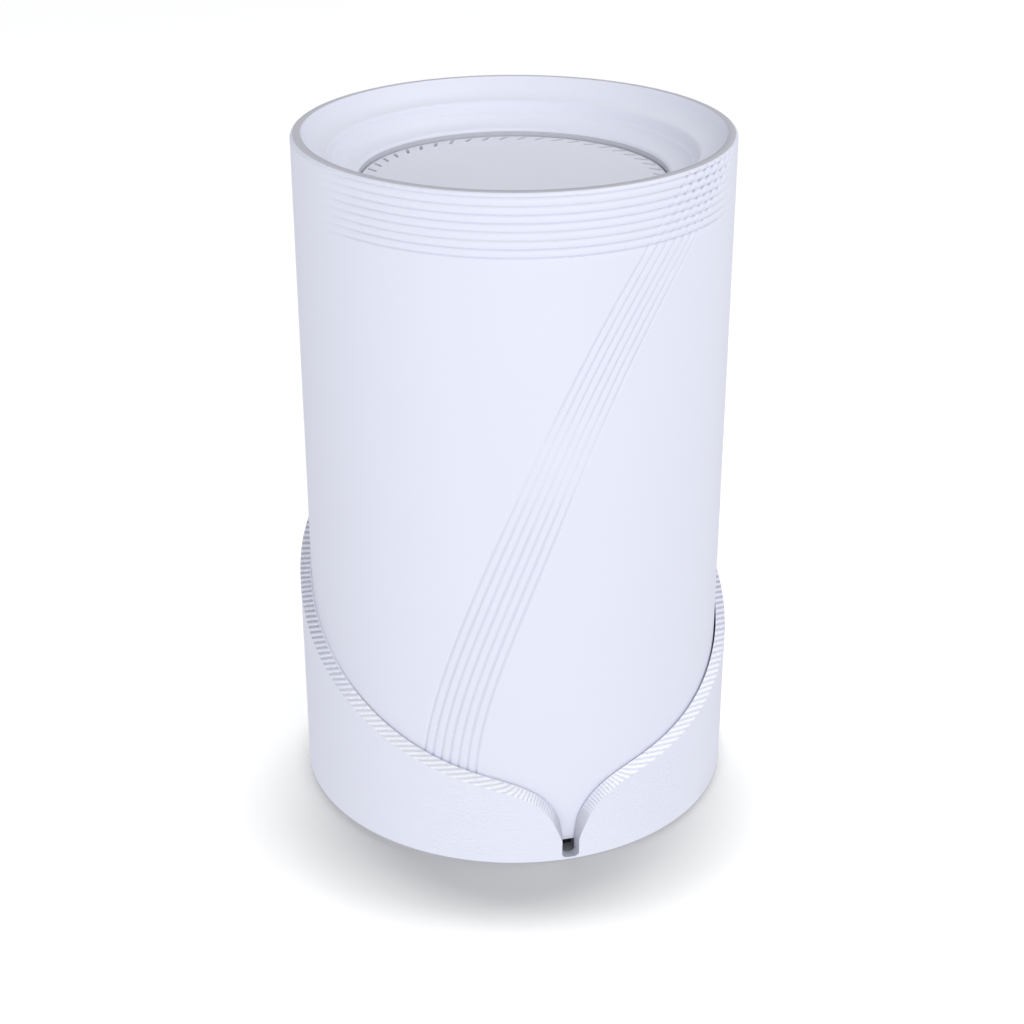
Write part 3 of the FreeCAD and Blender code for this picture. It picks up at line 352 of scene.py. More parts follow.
def rim_edges(turn):
    """Inner and outer edge of the rim at angles from the window: azimuths, heights, angle away."""
    away = np.minimum(turn, 360 - turn)
    side = np.where(turn <= 180, 1.0, -1.0)
    inner_z = RIM_LOW + RIM_RISE * (1 - np.cos(np.radians(away))) / 2
    inner_z = inner_z - DIP_DEPTH * np.exp(-away / DIP_WIDTH)
    inner_z = inner_z + CREST * ramp(88, 106, away) * (1 - ramp(150, 180, away))
    inner_z = inner_z - PLUNGE * np.exp(-(away - SLOT_TURN) / PLUNGE_WIDTH)
    slope = rim_slope(away)
    length = np.hypot(1, slope)
    width = SLOT_FLARE + (RIM_WIDTH - SLOT_FLARE) * ramp(7, 17.5, inner_z)
    aside = width * slope / length * (1 - ramp(70, 108, away))
    inner_az = WINDOW + turn
    outer_az = inner_az + side * arc_degrees(aside, SKIRT_R)
    outer_z = inner_z - width / length
    return inner_az, inner_z, outer_az, outer_z, away


def rim_face(skin, turn):
    """The sloped, terraced face between the two edges of the rim, with painted light and shade on its
    terraces.
    """
    inner_az, inner_z, outer_az, outer_z, away = rim_edges(turn)
    across = np.linspace(0, 1, 15)[:, None]
    azimuth = inner_az + (outer_az - inner_az) * across
    bore = rim_bore(turn)
    radius = bore + (SKIRT_R - bore) * across
    height = inner_z + (outer_z - inner_z) * across
    middle = (inner_z + outer_z) / 2
    outward = np.where(turn[1:] <= 180, 1, -1)
    step = np.hypot(np.diff(np.radians(inner_az)) * SKIRT_BORE, np.diff(inner_z))
    blend = 1 - ramp(7, 19, away) + ramp(112, 140, away)
    share = (blend[1:] + blend[:-1]) / 2
    rate = share * outward * step / RIB_PITCH + (1 - share) * np.diff(middle) / TERRACE
    along = np.concatenate([[0], np.cumsum(rate)])
    lean = 1.15 * ramp(35, 85, away) * (1 - ramp(120, 150, away))
    phase = along + (1 - blend) * (outer_z - inner_z + lean) * (across - 0.5) / TERRACE
    part = phase - np.floor(phase)
    rise = ramp(0.6, 1.0, part) - part + 0.3
    pitch = TERRACE + (0.8 * RIB_PITCH - TERRACE) * blend
    edge_fade = ramp(0, 0.10, across) * (1 - ramp(0.93, 1, across))
    strength = ramp(2.5, 6, away) * edge_fade
    crown = (0.12 + 0.5 * np.exp(-away / 4)) * ramp(SLOT_TURN, 4, away) * 4 * across * (1 - across)
    height = height + crown + 0.95 * pitch * rise * strength
    points = around(azimuth, radius, height)
    middle = (phase[:-1, :-1] + phase[1:, :-1] + phase[:-1, 1:] + phase[1:, 1:]) / 4
    middle -= np.floor(middle)
    # Painted shade on part of each riser and painted light on the rest of each terrace; the faces beside the
    # window slot all get painted shade.
    tags = np.where((middle > 0.46) & (middle < 0.82), RIB_SHADE, RIB_LIGHT)
    tags[:, away[:-1] < 3.5] = RIB_SHADE
    skin.grid(points, tags=tags)
    return points


def rim_steps(end):
    """Angles from the window's side to an end, evenly spaced along the rim."""
    spacing = 1.15
    steps = [SLOT_TURN]
    while steps[-1] < end:
        steps.append(steps[-1] + math.degrees(spacing / math.hypot(1, rim_slope(steps[-1])) / SKIRT_BORE))
    return np.array(steps[:-1])


def skirt_ring():
    """Angles of the skirt's columns: even beside the window, and fitted to the slots at the rear."""
    front, left = rim_steps(113.3), rim_steps(142.7)
    slot_half, slot_step, slot_reach = 1.3, 4.0, 48.0
    across = slot_half * np.cos(np.radians(np.arange(0, 181, 30)))
    centres = 180 + np.arange(-slot_reach, slot_reach + 1, slot_step)
    rear = (centres[:, None] + arc_degrees(across, SKIRT_R)).ravel()
    controls = ((162.0, 5.4, 14.0), (180.0, 5.6, 14.0))
    for azimuth, radius, _ in controls:
        ring = radius * np.cos(np.radians(np.arange(0, 181, 15)))
        rear = np.concatenate([rear, azimuth + arc_degrees(ring, SKIRT_R)])
    rear = np.concatenate([rear, centres[:-1] + 2, [128.6, 130, 230, 231.4]])
    rear = np.unique(np.round(rear, 3))
    rear = rear[np.concatenate([[True], np.diff(rear) > 0.03])]
    turn = np.concatenate([front, rear - WINDOW, 360 - left[::-1]])
    return turn, controls, centres, slot_half


def skirt_shell():
    """The skirt with its ribbed rim, window slot, rear slots and control holes."""
    turn, controls, centres, slot_half = skirt_ring()
    steps = np.hypot(np.radians(np.diff(turn)) * SKIRT_BORE, np.diff(rim_edges(turn)[1]))
    fine_step = 0.23
    counts = np.maximum(1, np.round(steps / fine_step)).astype(int)
    fine = np.concatenate([
        np.linspace(turn[number], turn[number + 1], count + 1)[:-1] for number, count in enumerate(counts)
    ] + [turn[-1:]])
    skin = Skin()
    rim = rim_face(skin, fine)
    inner_az, inner_z, outer_az, outer_z, _ = rim_edges(turn)
    step_down = 0.45
    outer_top, inner_top = outer_z - step_down, inner_z - step_down
    skin.zip(around(outer_az, SKIRT_R, outer_top), rim[-1], counts)
    skin.zip(around(inner_az, SKIRT_BORE, inner_top), rim[0], counts)
    skirt_slot(skin, rim)

    panel_right = int(np.searchsorted(turn, 44))
    panel_left = int(np.searchsorted(turn, 314))
    front_columns = (slice(0, panel_right + 1), slice(panel_left, len(turn)))
    rows = np.concatenate([np.arange(1.25, 37, 0.25), np.arange(38, 60, 4)])
    for columns in front_columns:
        azimuth = outer_az[columns]
        height = np.minimum(rows[:, None], outer_top[columns])
        folded = (azimuth + 180) % 360 - 180
        reach = ramp(-30, -14, folded) * (1 - ramp(46, 58, folded)) * (1 - ramp(30, 37, height))
        depth = 0.08 * (1 - np.cos(2 * math.pi * height / TERRACE)) * reach * ramp(1.2, 2, height)
        depth = depth * ramp(0.2, 1.2, outer_top[columns] - height)
        skin.grid(around(azimuth, SKIRT_R - depth, height))
        feet = [around(azimuth, radius, level) for radius, level in FOOT]
        skin.grid(np.stack(feet + [around(azimuth, SKIRT_R, rows[0])]))
        top_strip = [around(azimuth, SKIRT_R, level) for level in (height[-1], outer_top[columns])]
        skin.grid(np.stack(top_strip))

    side = slice(panel_right, panel_left + 1)
    azimuth = outer_az[side]
    slot_height = 19
    nearest = centres[np.argmin(np.abs(azimuth[:, None] - centres), 1)]
    aside = np.radians(azimuth - nearest) * SKIRT_R
    cap = slot_half - np.sqrt(np.clip(slot_half ** 2 - aside ** 2, 0, None))
    opening = np.full_like(azimuth, 0.4)
    middle = controls[0][2]
    for centre, radius, _ in controls:
        offset = np.radians(azimuth - centre) * SKIRT_R
        opening = np.maximum(opening, np.sqrt(np.clip(radius ** 2 - offset ** 2, 0, None)))
    limit = outer_top[side]
    levels = [middle - opening, middle + opening]
    for slot_bottom in (27, 50):
        levels += [slot_bottom + cap, slot_bottom + slot_height - cap]
    levels.append(limit)
    levels = [np.minimum(level, limit) for level in levels]
    outer = [around(azimuth, radius, height) for radius, height in FOOT]
    outer += [around(azimuth, SKIRT_R, level) for level in levels]
    inner = [around(inner_az[side], SKIRT_BORE, SKIRT_BOTTOM)] * 2
    inner += [around(inner_az[side], SKIRT_BORE, SKIRT_BOTTOM + 0.5)]
    inner_levels = [np.minimum(level, inner_top[side]) for level in levels[:-1]]
    inner += [around(inner_az[side], SKIRT_BORE, level) for level in inner_levels]
    inner += [around(inner_az[side], SKIRT_BORE, inner_top[side])]
    outer, inner = np.array(outer), np.array(inner)
    cell = (azimuth[1:] + azimuth[:-1]) / 2
    keep = np.ones((len(outer) - 1, len(cell)), bool)
    for centre, radius, _ in controls:
        keep[3, np.abs(np.radians(cell - centre)) * SKIRT_R < radius] = False
    slotted = np.min(np.abs(cell[:, None] - centres), 1) * math.pi / 180 * SKIRT_R < slot_half
    keep[np.ix_((5, 7), slotted)] = False
    skin.grid(outer, keep)
    skin.grid(inner, keep)
    hole_walls(skin, keep, outer, inner)
    skin.grid(np.stack([outer[0], inner[0]]))
    for columns in front_columns:
        back = [around(inner_az[columns], SKIRT_BORE, inner_top[columns]),
                around(inner_az[columns], SKIRT_BORE, SKIRT_BOTTOM),
                around(outer_az[columns], SKIRT_R - 0.5, SKIRT_BOTTOM)]
        skin.grid(np.stack(back))
    return skin.build("skirt_shell", 42)


def slot_outline(half, top):
    """Half of the window slot's outline, from the middle of its floor up one wall."""
    turn = np.radians(np.linspace(0, 90, 9))
    floor = np.linspace(0, half - SLOT_CORNER, 5)[:-1]
    aside = [floor, half - SLOT_CORNER + SLOT_CORNER * np.sin(turn), np.full(12, half)]
    height = [np.full(4, SLOT_FLOOR), SLOT_FLOOR + SLOT_CORNER * (1 - np.cos(turn)),
              np.linspace(SLOT_FLOOR + SLOT_CORNER, top, 13)[1:]]
    return np.concatenate(aside), np.concatenate(height)


def skirt_slot(skin, rim):
    """Floor and walls of the window slot, with the strip of skirt under it."""
    across = np.linspace(0, 1, len(rim))[:, None]
    for end, side in ((0, 1), (-1, -1)):
        low, high = rim[0, end], rim[-1, end]
        inner_x, inner_z = slot_outline(SLOT_HALF, low[2] * 1000)
        flare = abs(math.degrees(math.atan2(high[0], -high[1])) - WINDOW) * math.pi / 180 * SKIRT_R
        outer_x, outer_z = slot_outline(flare, high[2] * 1000)
        inner_az = WINDOW + side * arc_degrees(inner_x, SKIRT_BORE)
        outer_az = WINDOW + side * arc_degrees(outer_x, SKIRT_R)
        azimuth = inner_az + (outer_az - inner_az) * across
        height = inner_z + (outer_z - inner_z) * across
        points = around(azimuth, rim_bore(0) + (SKIRT_R - rim_bore(0)) * across, height)
        points[:, -1] = rim[:, end]
        # The slot's floor and walls get the rim's painted shade.
        skin.grid(points, tags=np.full((len(points) - 1, points.shape[1] - 1), RIB_SHADE))
        wall_start = 12
        under, wall = slice(0, wall_start + 1), slice(wall_start, None)
        feet = [around(outer_az[under], radius, level) for radius, level in FOOT]
        skin.grid(np.stack(feet + [points[-1, under]]))
        back = [around(inner_az[under], SKIRT_BORE, level) for level in (inner_z[under] - 0.3, SKIRT_BOTTOM)]
        skin.grid(np.stack([points[0, under], *back, feet[0]]))
        wall_back = around(inner_az[wall], SKIRT_BORE, np.maximum(inner_z[wall] - 0.3, 0))
        skin.grid(np.stack([points[0, wall], wall_back]))


# ------------------------------------------------------------------ outlet

def bowed(start, control, end, count):
    """Points of a quadratic curve without its last one."""
    part = np.linspace(0, 1, count + 1)[:-1, None]
    start, control, end = map(np.array, (start, control, end))
    return start * (1 - part) ** 2 + 2 * control * part * (1 - part) + end * part ** 2


def funnel_bowl():
    """The sunken bowl between the lip and the grille, with two soft steps."""
    lip, ridge, step, well = (LIP_BORE - 0.02, 0.02), (65.9, 7.0), (63.2, 11.0), (55.9, 15.1)
    profile = np.concatenate([
        bowed(lip, (LIP_BORE - 0.5, 0.6), (LIP_BORE - 1.0, 1.4), 4),
        bowed((LIP_BORE - 1.0, 1.4), (70.6, 6.0), ridge, 16),
        bowed(ridge, (65.2, 7.25), (64.9, 7.9), 5),
        bowed((64.9, 7.9), (64.3, 10.4), step, 8),
        bowed(step, (62.5, 11.3), (62.2, 11.9), 5),
        bowed((62.2, 11.9), (60.6, 14.4), well, 10),
        bowed(well, (55.2, 15.4), (55.1, 16.2), 5),
        [(55.1, 16.2), (55.1, 20.2), (54.4, 20.2), (54.4, 22.2), (57.1, 22.2), (57.1, 17.4), (63.8, 13.7)],
        [(66.9, 9.4), (LIP_BORE - 0.4, 4.2), (SLEEVE_BORE - 0.2, 4.2), (SLEEVE_BORE - 0.2, 2.1)],
        [(LIP_BORE - 0.02, 2.1)],
    ])
    radius, drop = profile.T
    turn = np.linspace(0, 360, 181)[:-1]
    points = around(turn[None, :], radius[:, None], SLEEVE_TOP - drop[:, None])
    skin = Skin()
    # The well's wall round the grille disc gets painted shade.
    well_shade_rows = np.append((radius[:-1] < 55.2) & (drop[:-1] > 16.1), False)
    tags = np.repeat(well_shade_rows.astype(int)[:, None], len(turn), 1)
    skin.grid(np.concatenate([points, points[:1]]), wrap=True, tags=tags)
    for number in range(4):
        spin = np.radians(45 + 90 * number)
        centre = np.array([EAR_RADIUS * math.sin(spin), -EAR_RADIUS * math.cos(spin), 0]) * 0.001
        post = around(np.linspace(0, 360, 25)[:-1][None, :], np.array([[1.45], [3], [3], [1.45], [1.45]]),
                      np.array([[238.6], [238.6], [247.0], [247.0], [238.6]]))
        skin.grid(post + centre, wrap=True)
    return skin.build("funnel_bowl", 50)


def outlet_disc():
    """The flat grille disc, with a ring of short skewed slots near its edge."""
    count, start, end, half, skew = 48, 49.6, 54.0, 0.78, -3.3
    top, bottom = GRILLE_HIGH.z, GRILLE_LOW.z
    edge = GRILLE_HIGH.x - 0.3
    pitch = 360 / count
    across = np.concatenate([half * np.cos(np.radians(np.arange(180, -1, -30))), [1.6, 3.4]])
    turn = (np.arange(count)[:, None] * pitch + arc_degrees(across, 52)).ravel()
    cap = half - np.sqrt(np.clip(half ** 2 - across ** 2, 0, None))
    cap = np.tile(np.minimum(cap, half), count)
    full = np.ones_like(turn)
    radii = np.array([0.02 * full, 15 * full, 30 * full, 42 * full, 48 * full, start + cap, end - cap,
                      54.5 * full, (edge - 0.3) * full])
    shear = skew * np.clip((radii - 48) / 4, 0, 2)
    upper = around(turn + shear, radii, top)
    rounded = around(turn + shear[-1:], edge, top - 0.3)
    lower = around(turn + shear, np.minimum(radii, edge), bottom)
    keep = np.ones((len(radii) - 1, len(turn)), bool)
    slotted = (np.arange(len(turn)) % len(across)) < 6
    keep[5, slotted] = False
    skin = Skin()
    skin.grid(upper, keep, wrap=True)
    skin.grid(lower, keep, wrap=True)
    skin.grid(np.concatenate([upper[-1:], rounded, lower[-1:]]), wrap=True)
    hole_walls(skin, keep, upper, lower, wrap=True)
    return skin.build("outlet_disc", 40)


# ------------------------------------------------------------------ finishes

class Finish:
    """A procedural material whose colour, roughness and bump all vary over the surface."""

    def __init__(self, name):
        self.material = bpy.data.materials.new(name)
        self.material.use_nodes = True
        self.nodes, self.links = self.material.node_tree.nodes, self.material.node_tree.links
        self.shader = self.nodes["Principled BSDF"]
        self.place = self.nodes.new("ShaderNodeTexCoord").outputs["Object"]

    def noise(self, scale, detail=3.0, stretch=(1, 1, 1)):
        """Soft random grain, drawn out along an axis where stretch is small."""
        mapping = self.nodes.new("ShaderNodeMapping")
        mapping.inputs["Scale"].default_value = stretch
        self.links.new(self.place, mapping.inputs["Vector"])
        texture = self.nodes.new("ShaderNodeTexNoise")
        texture.inputs["Scale"].default_value = scale
        texture.inputs["Detail"].default_value = detail
        self.links.new(mapping.outputs["Vector"], texture.inputs["Vector"])
        return texture.outputs["Fac"]

    def cells(self, scale):
        """Rounded cells, as in foam."""
        texture = self.nodes.new("ShaderNodeTexVoronoi")
        texture.inputs["Scale"].default_value = scale
        self.links.new(self.place, texture.inputs["Vector"])
        return texture.outputs["Distance"]

    def bands(self, scale, direction):
        """Even layers across one axis."""
        texture = self.nodes.new("ShaderNodeTexWave")
        texture.bands_direction = direction
        texture.inputs["Scale"].default_value = scale
        self.links.new(self.place, texture.inputs["Vector"])
        return texture.outputs["Fac"]

    def maths(self, kind, *values):
        """Result of one arithmetic step on numbers or sockets."""
        node = self.nodes.new("ShaderNodeMath")
        node.operation = kind
        for socket, value in zip(node.inputs, values):
            if isinstance(value, (int, float)):
                socket.default_value = value
            else:
                self.links.new(value, socket)
        return node.outputs["Value"]

    def colour(self, factor, low, high):
        """Base colour between two tones."""
        mix = self.nodes.new("ShaderNodeMix")
        mix.data_type = "RGBA"
        mix.inputs["A"].default_value = (*low, 1)
        mix.inputs["B"].default_value = (*high, 1)
        self.links.new(factor, mix.inputs["Factor"])
        self.links.new(mix.outputs["Result"], self.shader.inputs["Base Color"])

    def rough(self, factor, low, high):
        """Roughness between two values."""
        scale = self.nodes.new("ShaderNodeMapRange")
        scale.inputs["To Min"].default_value = low
        scale.inputs["To Max"].default_value = high
        self.links.new(factor, scale.inputs["Value"])
        self.links.new(scale.outputs["Result"], self.shader.inputs["Roughness"])

    def bump(self, factor, strength, depth):
        """Fine relief of the surface, with its depth in metres."""
        bump = self.nodes.new("ShaderNodeBump")
        bump.inputs["Strength"].default_value = strength
        bump.inputs["Distance"].default_value = depth
        self.links.new(factor, bump.inputs["Height"])
        self.links.new(bump.outputs["Normal"], self.shader.inputs["Normal"])


GRAIN, GRAIN_DEPTH = 900, 0.00003


def finish(name, colour, rough=0.5, metallic=0.0, vary=0.03, relief=0.2, pattern="noise"):
    """Plain moulded, cast or drawn surface, or one of the foamed, fibrous and layered patterns."""
    look = Finish(name)
    look.shader.inputs["Metallic"].default_value = metallic
    low = [value * (1 - vary) for value in colour]
    high = [min(1, value * (1 + vary)) for value in colour]
    look.colour(look.noise(35), low, high)
    look.rough(look.noise(160), rough - 0.05, rough + 0.05)
    if pattern == "noise":
        look.bump(look.noise(GRAIN), relief, GRAIN_DEPTH)
    if pattern == "foam":
        look.bump(look.cells(700), 0.9, 0.0006)
    if pattern == "layers":
        look.bump(look.bands(420, "Z"), 0.7, 0.0002)
    if pattern == "brushed":
        look.bump(look.noise(1400, 2, (1, 1, 0.05)), relief, GRAIN_DEPTH)
    if pattern == "fibres":
        look.bump(look.noise(2500, 5, (1, 1, 0.2)), 0.5, 0.0001)
    return look.material


def woven(name, thread, gap, count_round, count_up):
    """A cylinder of crossed threads with darker openings between them."""
    look = Finish(name)
    split = look.nodes.new("ShaderNodeSeparateXYZ")
    look.links.new(look.place, split.inputs["Vector"])
    turn = look.maths("ARCTAN2", split.outputs["Y"], split.outputs["X"])
    waves = [look.maths("SINE", look.maths("MULTIPLY", turn, count_round)),
             look.maths("SINE", look.maths("MULTIPLY", split.outputs["Z"], count_up))]
    thread_height = look.maths("MAXIMUM", *waves)
    cover = look.nodes.new("ShaderNodeMapRange")
    cover.inputs["From Min"].default_value = 0.1
    cover.inputs["From Max"].default_value = 0.5
    look.links.new(thread_height, cover.inputs["Value"])
    look.colour(cover.outputs["Result"], gap, thread)
    look.rough(look.noise(200), 0.6, 0.8)
    look.bump(thread_height, 0.8, 0.0003)
    return look.material


def graded(name, shell, stops):
    """The shell's finish with painted light and shade, lighter or darker by the angle away from the window.
    """
    look = Finish(name)
    split = look.nodes.new("ShaderNodeSeparateXYZ")
    look.links.new(look.place, split.inputs["Vector"])
    x, y = split.outputs["X"], split.outputs["Y"]
    turn = math.radians(WINDOW)
    ahead = look.maths("SUBTRACT", look.maths("MULTIPLY", x, math.sin(turn)),
                       look.maths("MULTIPLY", y, math.cos(turn)))
    aside = look.maths("ADD", look.maths("MULTIPLY", x, math.cos(turn)),
                       look.maths("MULTIPLY", y, math.sin(turn)))
    away = look.maths("DIVIDE", look.maths("ABSOLUTE", look.maths("ARCTAN2", aside, ahead)), math.pi)
    scale = look.nodes.new("ShaderNodeValToRGB")
    scale.color_ramp.elements[0].position = stops[0][0] / 180
    scale.color_ramp.elements[1].position = stops[-1][0] / 180
    for angle, _ in stops[1:-1]:
        scale.color_ramp.elements.new(angle / 180)
    for element, (_, level) in zip(scale.color_ramp.elements, stops):
        element.color = (*(min(1, level * value) for value in shell), 1)
    look.links.new(away, scale.inputs["Fac"])
    grain = look.nodes.new("ShaderNodeMix")
    grain.data_type = "RGBA"
    grain.blend_type = "MULTIPLY"
    grain.inputs["Factor"].default_value = 0.03
    look.links.new(scale.outputs["Color"], grain.inputs["A"])
    look.links.new(look.noise(300), grain.inputs["B"])
    look.links.new(grain.outputs["Result"], look.shader.inputs["Base Color"])
    look.rough(look.noise(160), 0.45, 0.55)
    look.bump(look.noise(GRAIN), 0.12, GRAIN_DEPTH)
    return look.material


SHELL = (0.80, 0.815, 0.93)
FINISHES = {
    "shell_white": finish("shell_white", SHELL, 0.5, vary=0.008, relief=0.12),
    "inner_white": finish("inner_white", (0.80, 0.815, 0.92), 0.52, vary=0.01, relief=0.12),
    "grille_white": finish("grille_white", (0.79, 0.81, 0.89), 0.55, vary=0.012, relief=0.25),
    "base_grey": finish("base_grey", (0.30, 0.305, 0.33), 0.6),
    "fan_dark": finish("fan_dark", (0.04, 0.04, 0.045), 0.5, relief=0.35),
    "lens_dark": finish("lens_dark", (0.02, 0.02, 0.025), 0.15, relief=0.05),
    "lamp_clear": finish("lamp_clear", (0.6, 0.6, 0.64), 0.55),
    "button_white": finish("button_white", (0.82, 0.83, 0.93), 0.45, vary=0.01),
    "filter_cap": finish("filter_cap", (0.74, 0.75, 0.78), 0.55),
    "filter_bail": finish("filter_bail", (0.20, 0.33, 0.52), 0.45),
    "filter_paper": finish("filter_paper", (0.88, 0.88, 0.84), 0.9, pattern="fibres", vary=0.05),
    "carbon": finish("carbon", (0.03, 0.03, 0.033), 0.95, pattern="foam", vary=0.3),
    "mesh_fabric": woven("mesh_fabric", (0.80, 0.81, 0.83), (0.35, 0.36, 0.39), 300, 4200),
    "mesh_grey": finish("mesh_grey", (0.12, 0.12, 0.135), 0.6),
    "foam": finish("foam", (0.09, 0.09, 0.1), 0.95, pattern="foam", vary=0.2),
    "soft_seal": finish("soft_seal", (0.07, 0.07, 0.075), 0.8, relief=0.5),
    "foot_rubber": finish("foot_rubber", (0.35, 0.35, 0.37), 0.85, relief=0.5),
    "steel": finish("steel", (0.62, 0.62, 0.64), 0.32, 1.0, pattern="brushed"),
    "screw_steel": finish("screw_steel", (0.55, 0.55, 0.57), 0.35, 1.0, pattern="brushed"),
    "iron_core": finish("iron_core", (0.20, 0.20, 0.22), 0.5, 0.8, pattern="layers", vary=0.1),
    "copper": finish("copper", (0.72, 0.30, 0.12), 0.35, 0.9, pattern="layers", vary=0.1),
    "magnet": finish("magnet", (0.09, 0.09, 0.1), 0.7, vary=0.12),
    "bronze": finish("bronze", (0.55, 0.38, 0.18), 0.45, 0.9, vary=0.1),
    "circuit_board": finish("circuit_board", (0.02, 0.16, 0.07), 0.35, vary=0.25),
    "chip_black": finish("chip_black", (0.025, 0.025, 0.03), 0.55, vary=0.15),
    "socket_cream": finish("socket_cream", (0.78, 0.75, 0.64), 0.5),
    "can_aluminium": finish("can_aluminium", (0.72, 0.73, 0.75), 0.3, 1.0, pattern="brushed"),
    "sensor_shell": finish("sensor_shell", (0.11, 0.12, 0.13), 0.5),
}


def dress(item, *slots):
    """Gives a piece its finishes, the first of them to every face that carries no tag."""
    tags = [face.material_index for face in item.data.polygons]
    item.data.materials.clear()
    for slot in slots:
        item.data.materials.append(FINISHES[slot])
    if len(slots) > 1:
        item.data.polygons.foreach_set("material_index", tags)


for part in frame["record"]["subparts"]:
    node = frame["nodes"].get(part.get("node"))
    if node is not None:
        dress(node, part["material_slot"])

# Painted light and shade on the rim's ribs: angles away from the window and how much lighter or darker than
# the shell each tone is there.
RIB_SHADE_STOPS = ((2, 0.66), (5, 0.82), (12, 0.93), (56, 0.93), (70, 0.74), (84, 0.58))
RIB_LIGHT_STOPS = ((2, 0.68), (6, 1.0), (12, 1.2), (56, 1.2), (70, 1.06), (84, 1.02))
FINISHES.update({
    "rib_shade": graded("rib_shade", SHELL, RIB_SHADE_STOPS),
    "rib_light": graded("rib_light", SHELL, RIB_LIGHT_STOPS),
    # Painted shade for the well's wall, the grooves, the dimples and the lip's top.
    "well_painted_shade": finish("well_painted_shade", (0.56, 0.57, 0.62), 0.55, vary=0.012, relief=0.12),
    "groove_shade": finish("groove_shade", (0.72, 0.735, 0.85), 0.5, vary=0.012, relief=0.12),
    "groove_faint_shade": finish("groove_faint_shade", (0.77, 0.785, 0.90), 0.5, vary=0.012, relief=0.12),
    "dimple_shade": finish("dimple_shade", (0.52, 0.53, 0.62), 0.5, vary=0.012, relief=0.12),
    "lip_painted_shade": finish("lip_painted_shade", (0.56, 0.56, 0.62), 0.5, vary=0.01, relief=0.12),
})

# Finishes of the faces that a piece tags with 1, 2 and so on: painted light and shade.
EXTRA_FINISHES = {
    "upper_sleeve": ("lip_painted_shade", "groove_shade", "dimple_shade", "groove_faint_shade"),
    "lower_skirt": ("rib_shade", "rib_light"),
    "outlet_funnel": ("well_painted_shade",),
}

for item, node, body, slot in (
    (sleeve_shell(), "upper_sleeve", "sleeve", "shell_white"),
    (skirt_shell(), "lower_skirt", "base", "shell_white"),
    (funnel_bowl(), "outlet_funnel", "sleeve", "inner_white"),
    (outlet_disc(), "outlet_grille", "sleeve", "grille_white"),
):
    dress(item, slot, *EXTRA_FINISHES.get(node, ()))
    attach(item, body)
    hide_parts(node)
    # Up-facing faces at the top of the lip get painted shade.
    if node == "upper_sleeve":
        for face in item.data.polygons:
            if face.normal.z > 0.92 and face.center.z * 1000 > SLEEVE_TOP - 0.8:
                face.material_index = LIP


# ------------------------------------------------------------------ stage, light and camera

FLOOR_GLOW = 0.06
MIDDLE = (0, 0, 0.13)


def floor():
    """A wide pale sheet that the object stands on, and that sends no light back to it."""
    mesh = bpy.data.meshes.new("floor")
    reach = 6.0
    corners = [(-reach, -reach, 0), (reach, -reach, 0), (reach, reach, 0), (-reach, reach, 0)]
    mesh.from_pydata(corners, [], [(0, 1, 2, 3)])
    item = bpy.data.objects.new("floor", mesh)
    bpy.context.scene.collection.objects.link(item)
    look = Finish("floor_paper")
    look.colour(look.noise(3), (0.50, 0.50, 0.50), (0.51, 0.51, 0.51))
    look.rough(look.noise(8), 0.9, 1.0)
    look.shader.inputs["Specular IOR Level"].default_value = 0.0
    look.shader.inputs["Emission Color"].default_value = (1, 1, 1, 1)
    look.shader.inputs["Emission Strength"].default_value = FLOOR_GLOW
    item.data.materials.append(look.material)
    item.visible_diffuse = False
    item.visible_glossy = False
    item.visible_shadow = False
    return item


def lamp(name, kind, power):
    """A light in the scene, not yet placed."""
    light = bpy.data.lights.new(name, kind)
    light.energy = power
    item = bpy.data.objects.new(name, light)
    bpy.context.scene.collection.objects.link(item)
    return item


def softbox(name, place, power):
    """A round soft light, one metre wide, that faces the middle of the object."""
    item = lamp(name, "AREA", power)
    item.data.shape = "DISK"
    item.data.size = 1.0
    item.location = place
    item.rotation_euler = (Vector(MIDDLE) - Vector(place)).to_track_quat("-Z", "Y").to_euler()


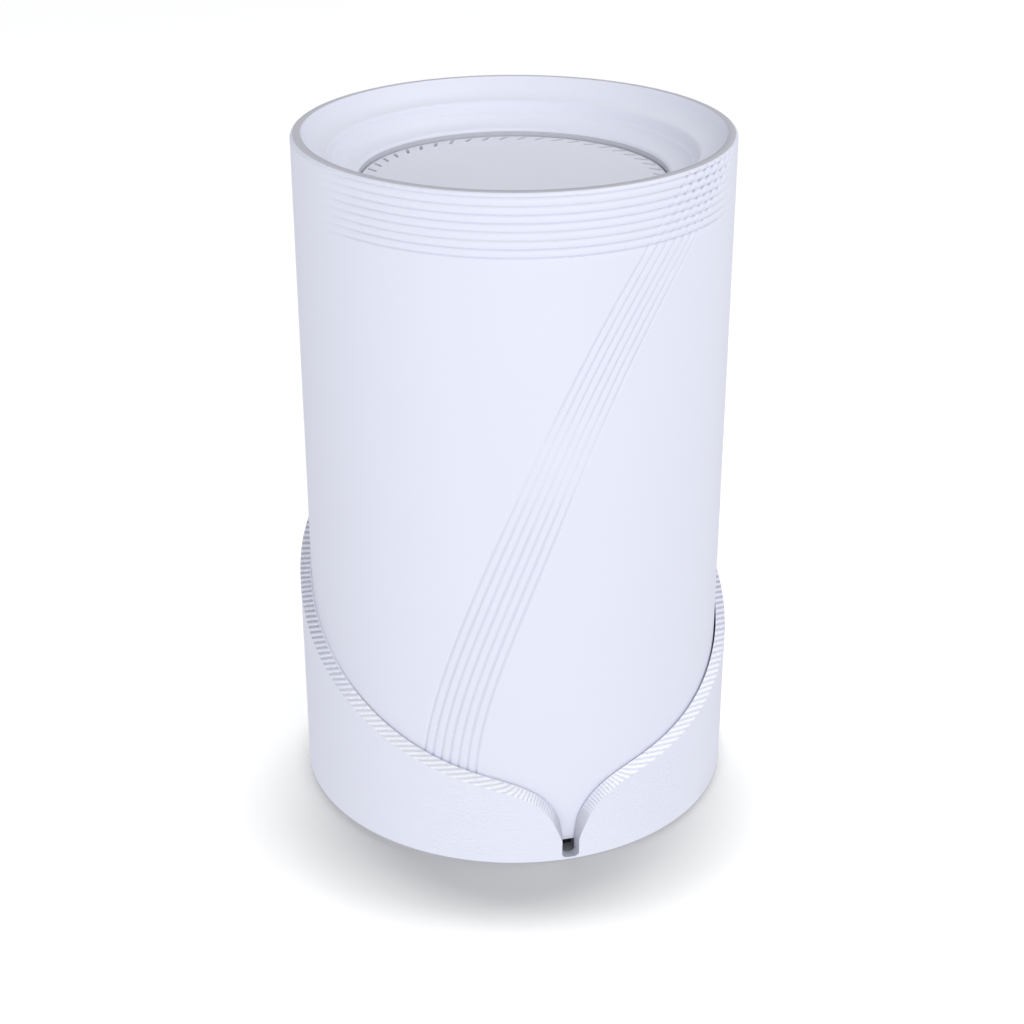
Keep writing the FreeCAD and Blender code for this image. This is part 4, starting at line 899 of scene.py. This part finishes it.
def floor_sun(name, tilt, lean, power, receivers):
    """A soft sun that draws the object's shadow on the floor and leaves the object alone."""
    item = lamp(name, "SUN", power)
    item.data.angle = math.radians(5.5)
    item.rotation_euler = (math.radians(tilt), math.radians(lean), 0)
    item.light_linking.receiver_collection = receivers


only_floor = bpy.data.collections.new("only_floor")
only_floor.objects.link(floor())
softbox("front", (0.0, -1.9, 0.75), 7.6)
softbox("right", (1.05, -1.6, 0.8), 6.2)
softbox("left", (-1.4, -1.3, 0.8), 4.0)
softbox("top", (0.9, 0.2, 1.85), 8.6)
floor_sun("drop_near", -7.5, 0, 0.75, only_floor)
floor_sun("drop_far", -11, 0, 0.75, only_floor)
floor_sun("drop_left", -9, -4.5, 1.2, only_floor)
floor_sun("drop_right", -9, 4.5, 1.2, only_floor)

# The world is brighter under the horizon than over it.
world = bpy.data.worlds.new("studio")
world.use_nodes = True
sky = world.node_tree.nodes
sky["Background"].inputs["Color"].default_value = (0.97, 0.98, 1.0, 1)
way = sky.new("ShaderNodeTexCoord")
split = sky.new("ShaderNodeSeparateXYZ")
level = sky.new("ShaderNodeMapRange")
level.inputs["From Min"].default_value = -0.15
level.inputs["From Max"].default_value = 0.05
level.inputs["To Min"].default_value = 0.86
level.inputs["To Max"].default_value = 0.52
world.node_tree.links.new(way.outputs["Generated"], split.inputs["Vector"])
world.node_tree.links.new(split.outputs["Z"], level.inputs["Value"])
world.node_tree.links.new(level.outputs["Result"], sky["Background"].inputs["Strength"])
bpy.context.scene.world = world
bpy.context.scene.view_settings.view_transform = "Standard"

lens = bpy.data.cameras.new("camera")
lens.lens = 69.38
lens.sensor_width = 36
lens.shift_x = -0.002
camera = bpy.data.objects.new("camera", lens)
bpy.context.scene.collection.objects.link(camera)
elevation, distance, aim = math.radians(26.09), 0.7559, Vector((0, 0, 0.1043))
camera.location = aim + Vector((0, -distance * math.cos(elevation), distance * math.sin(elevation)))
camera.rotation_euler = (aim - camera.location).to_track_quat("-Z", "Y").to_euler()
bpy.context.scene.camera = camera
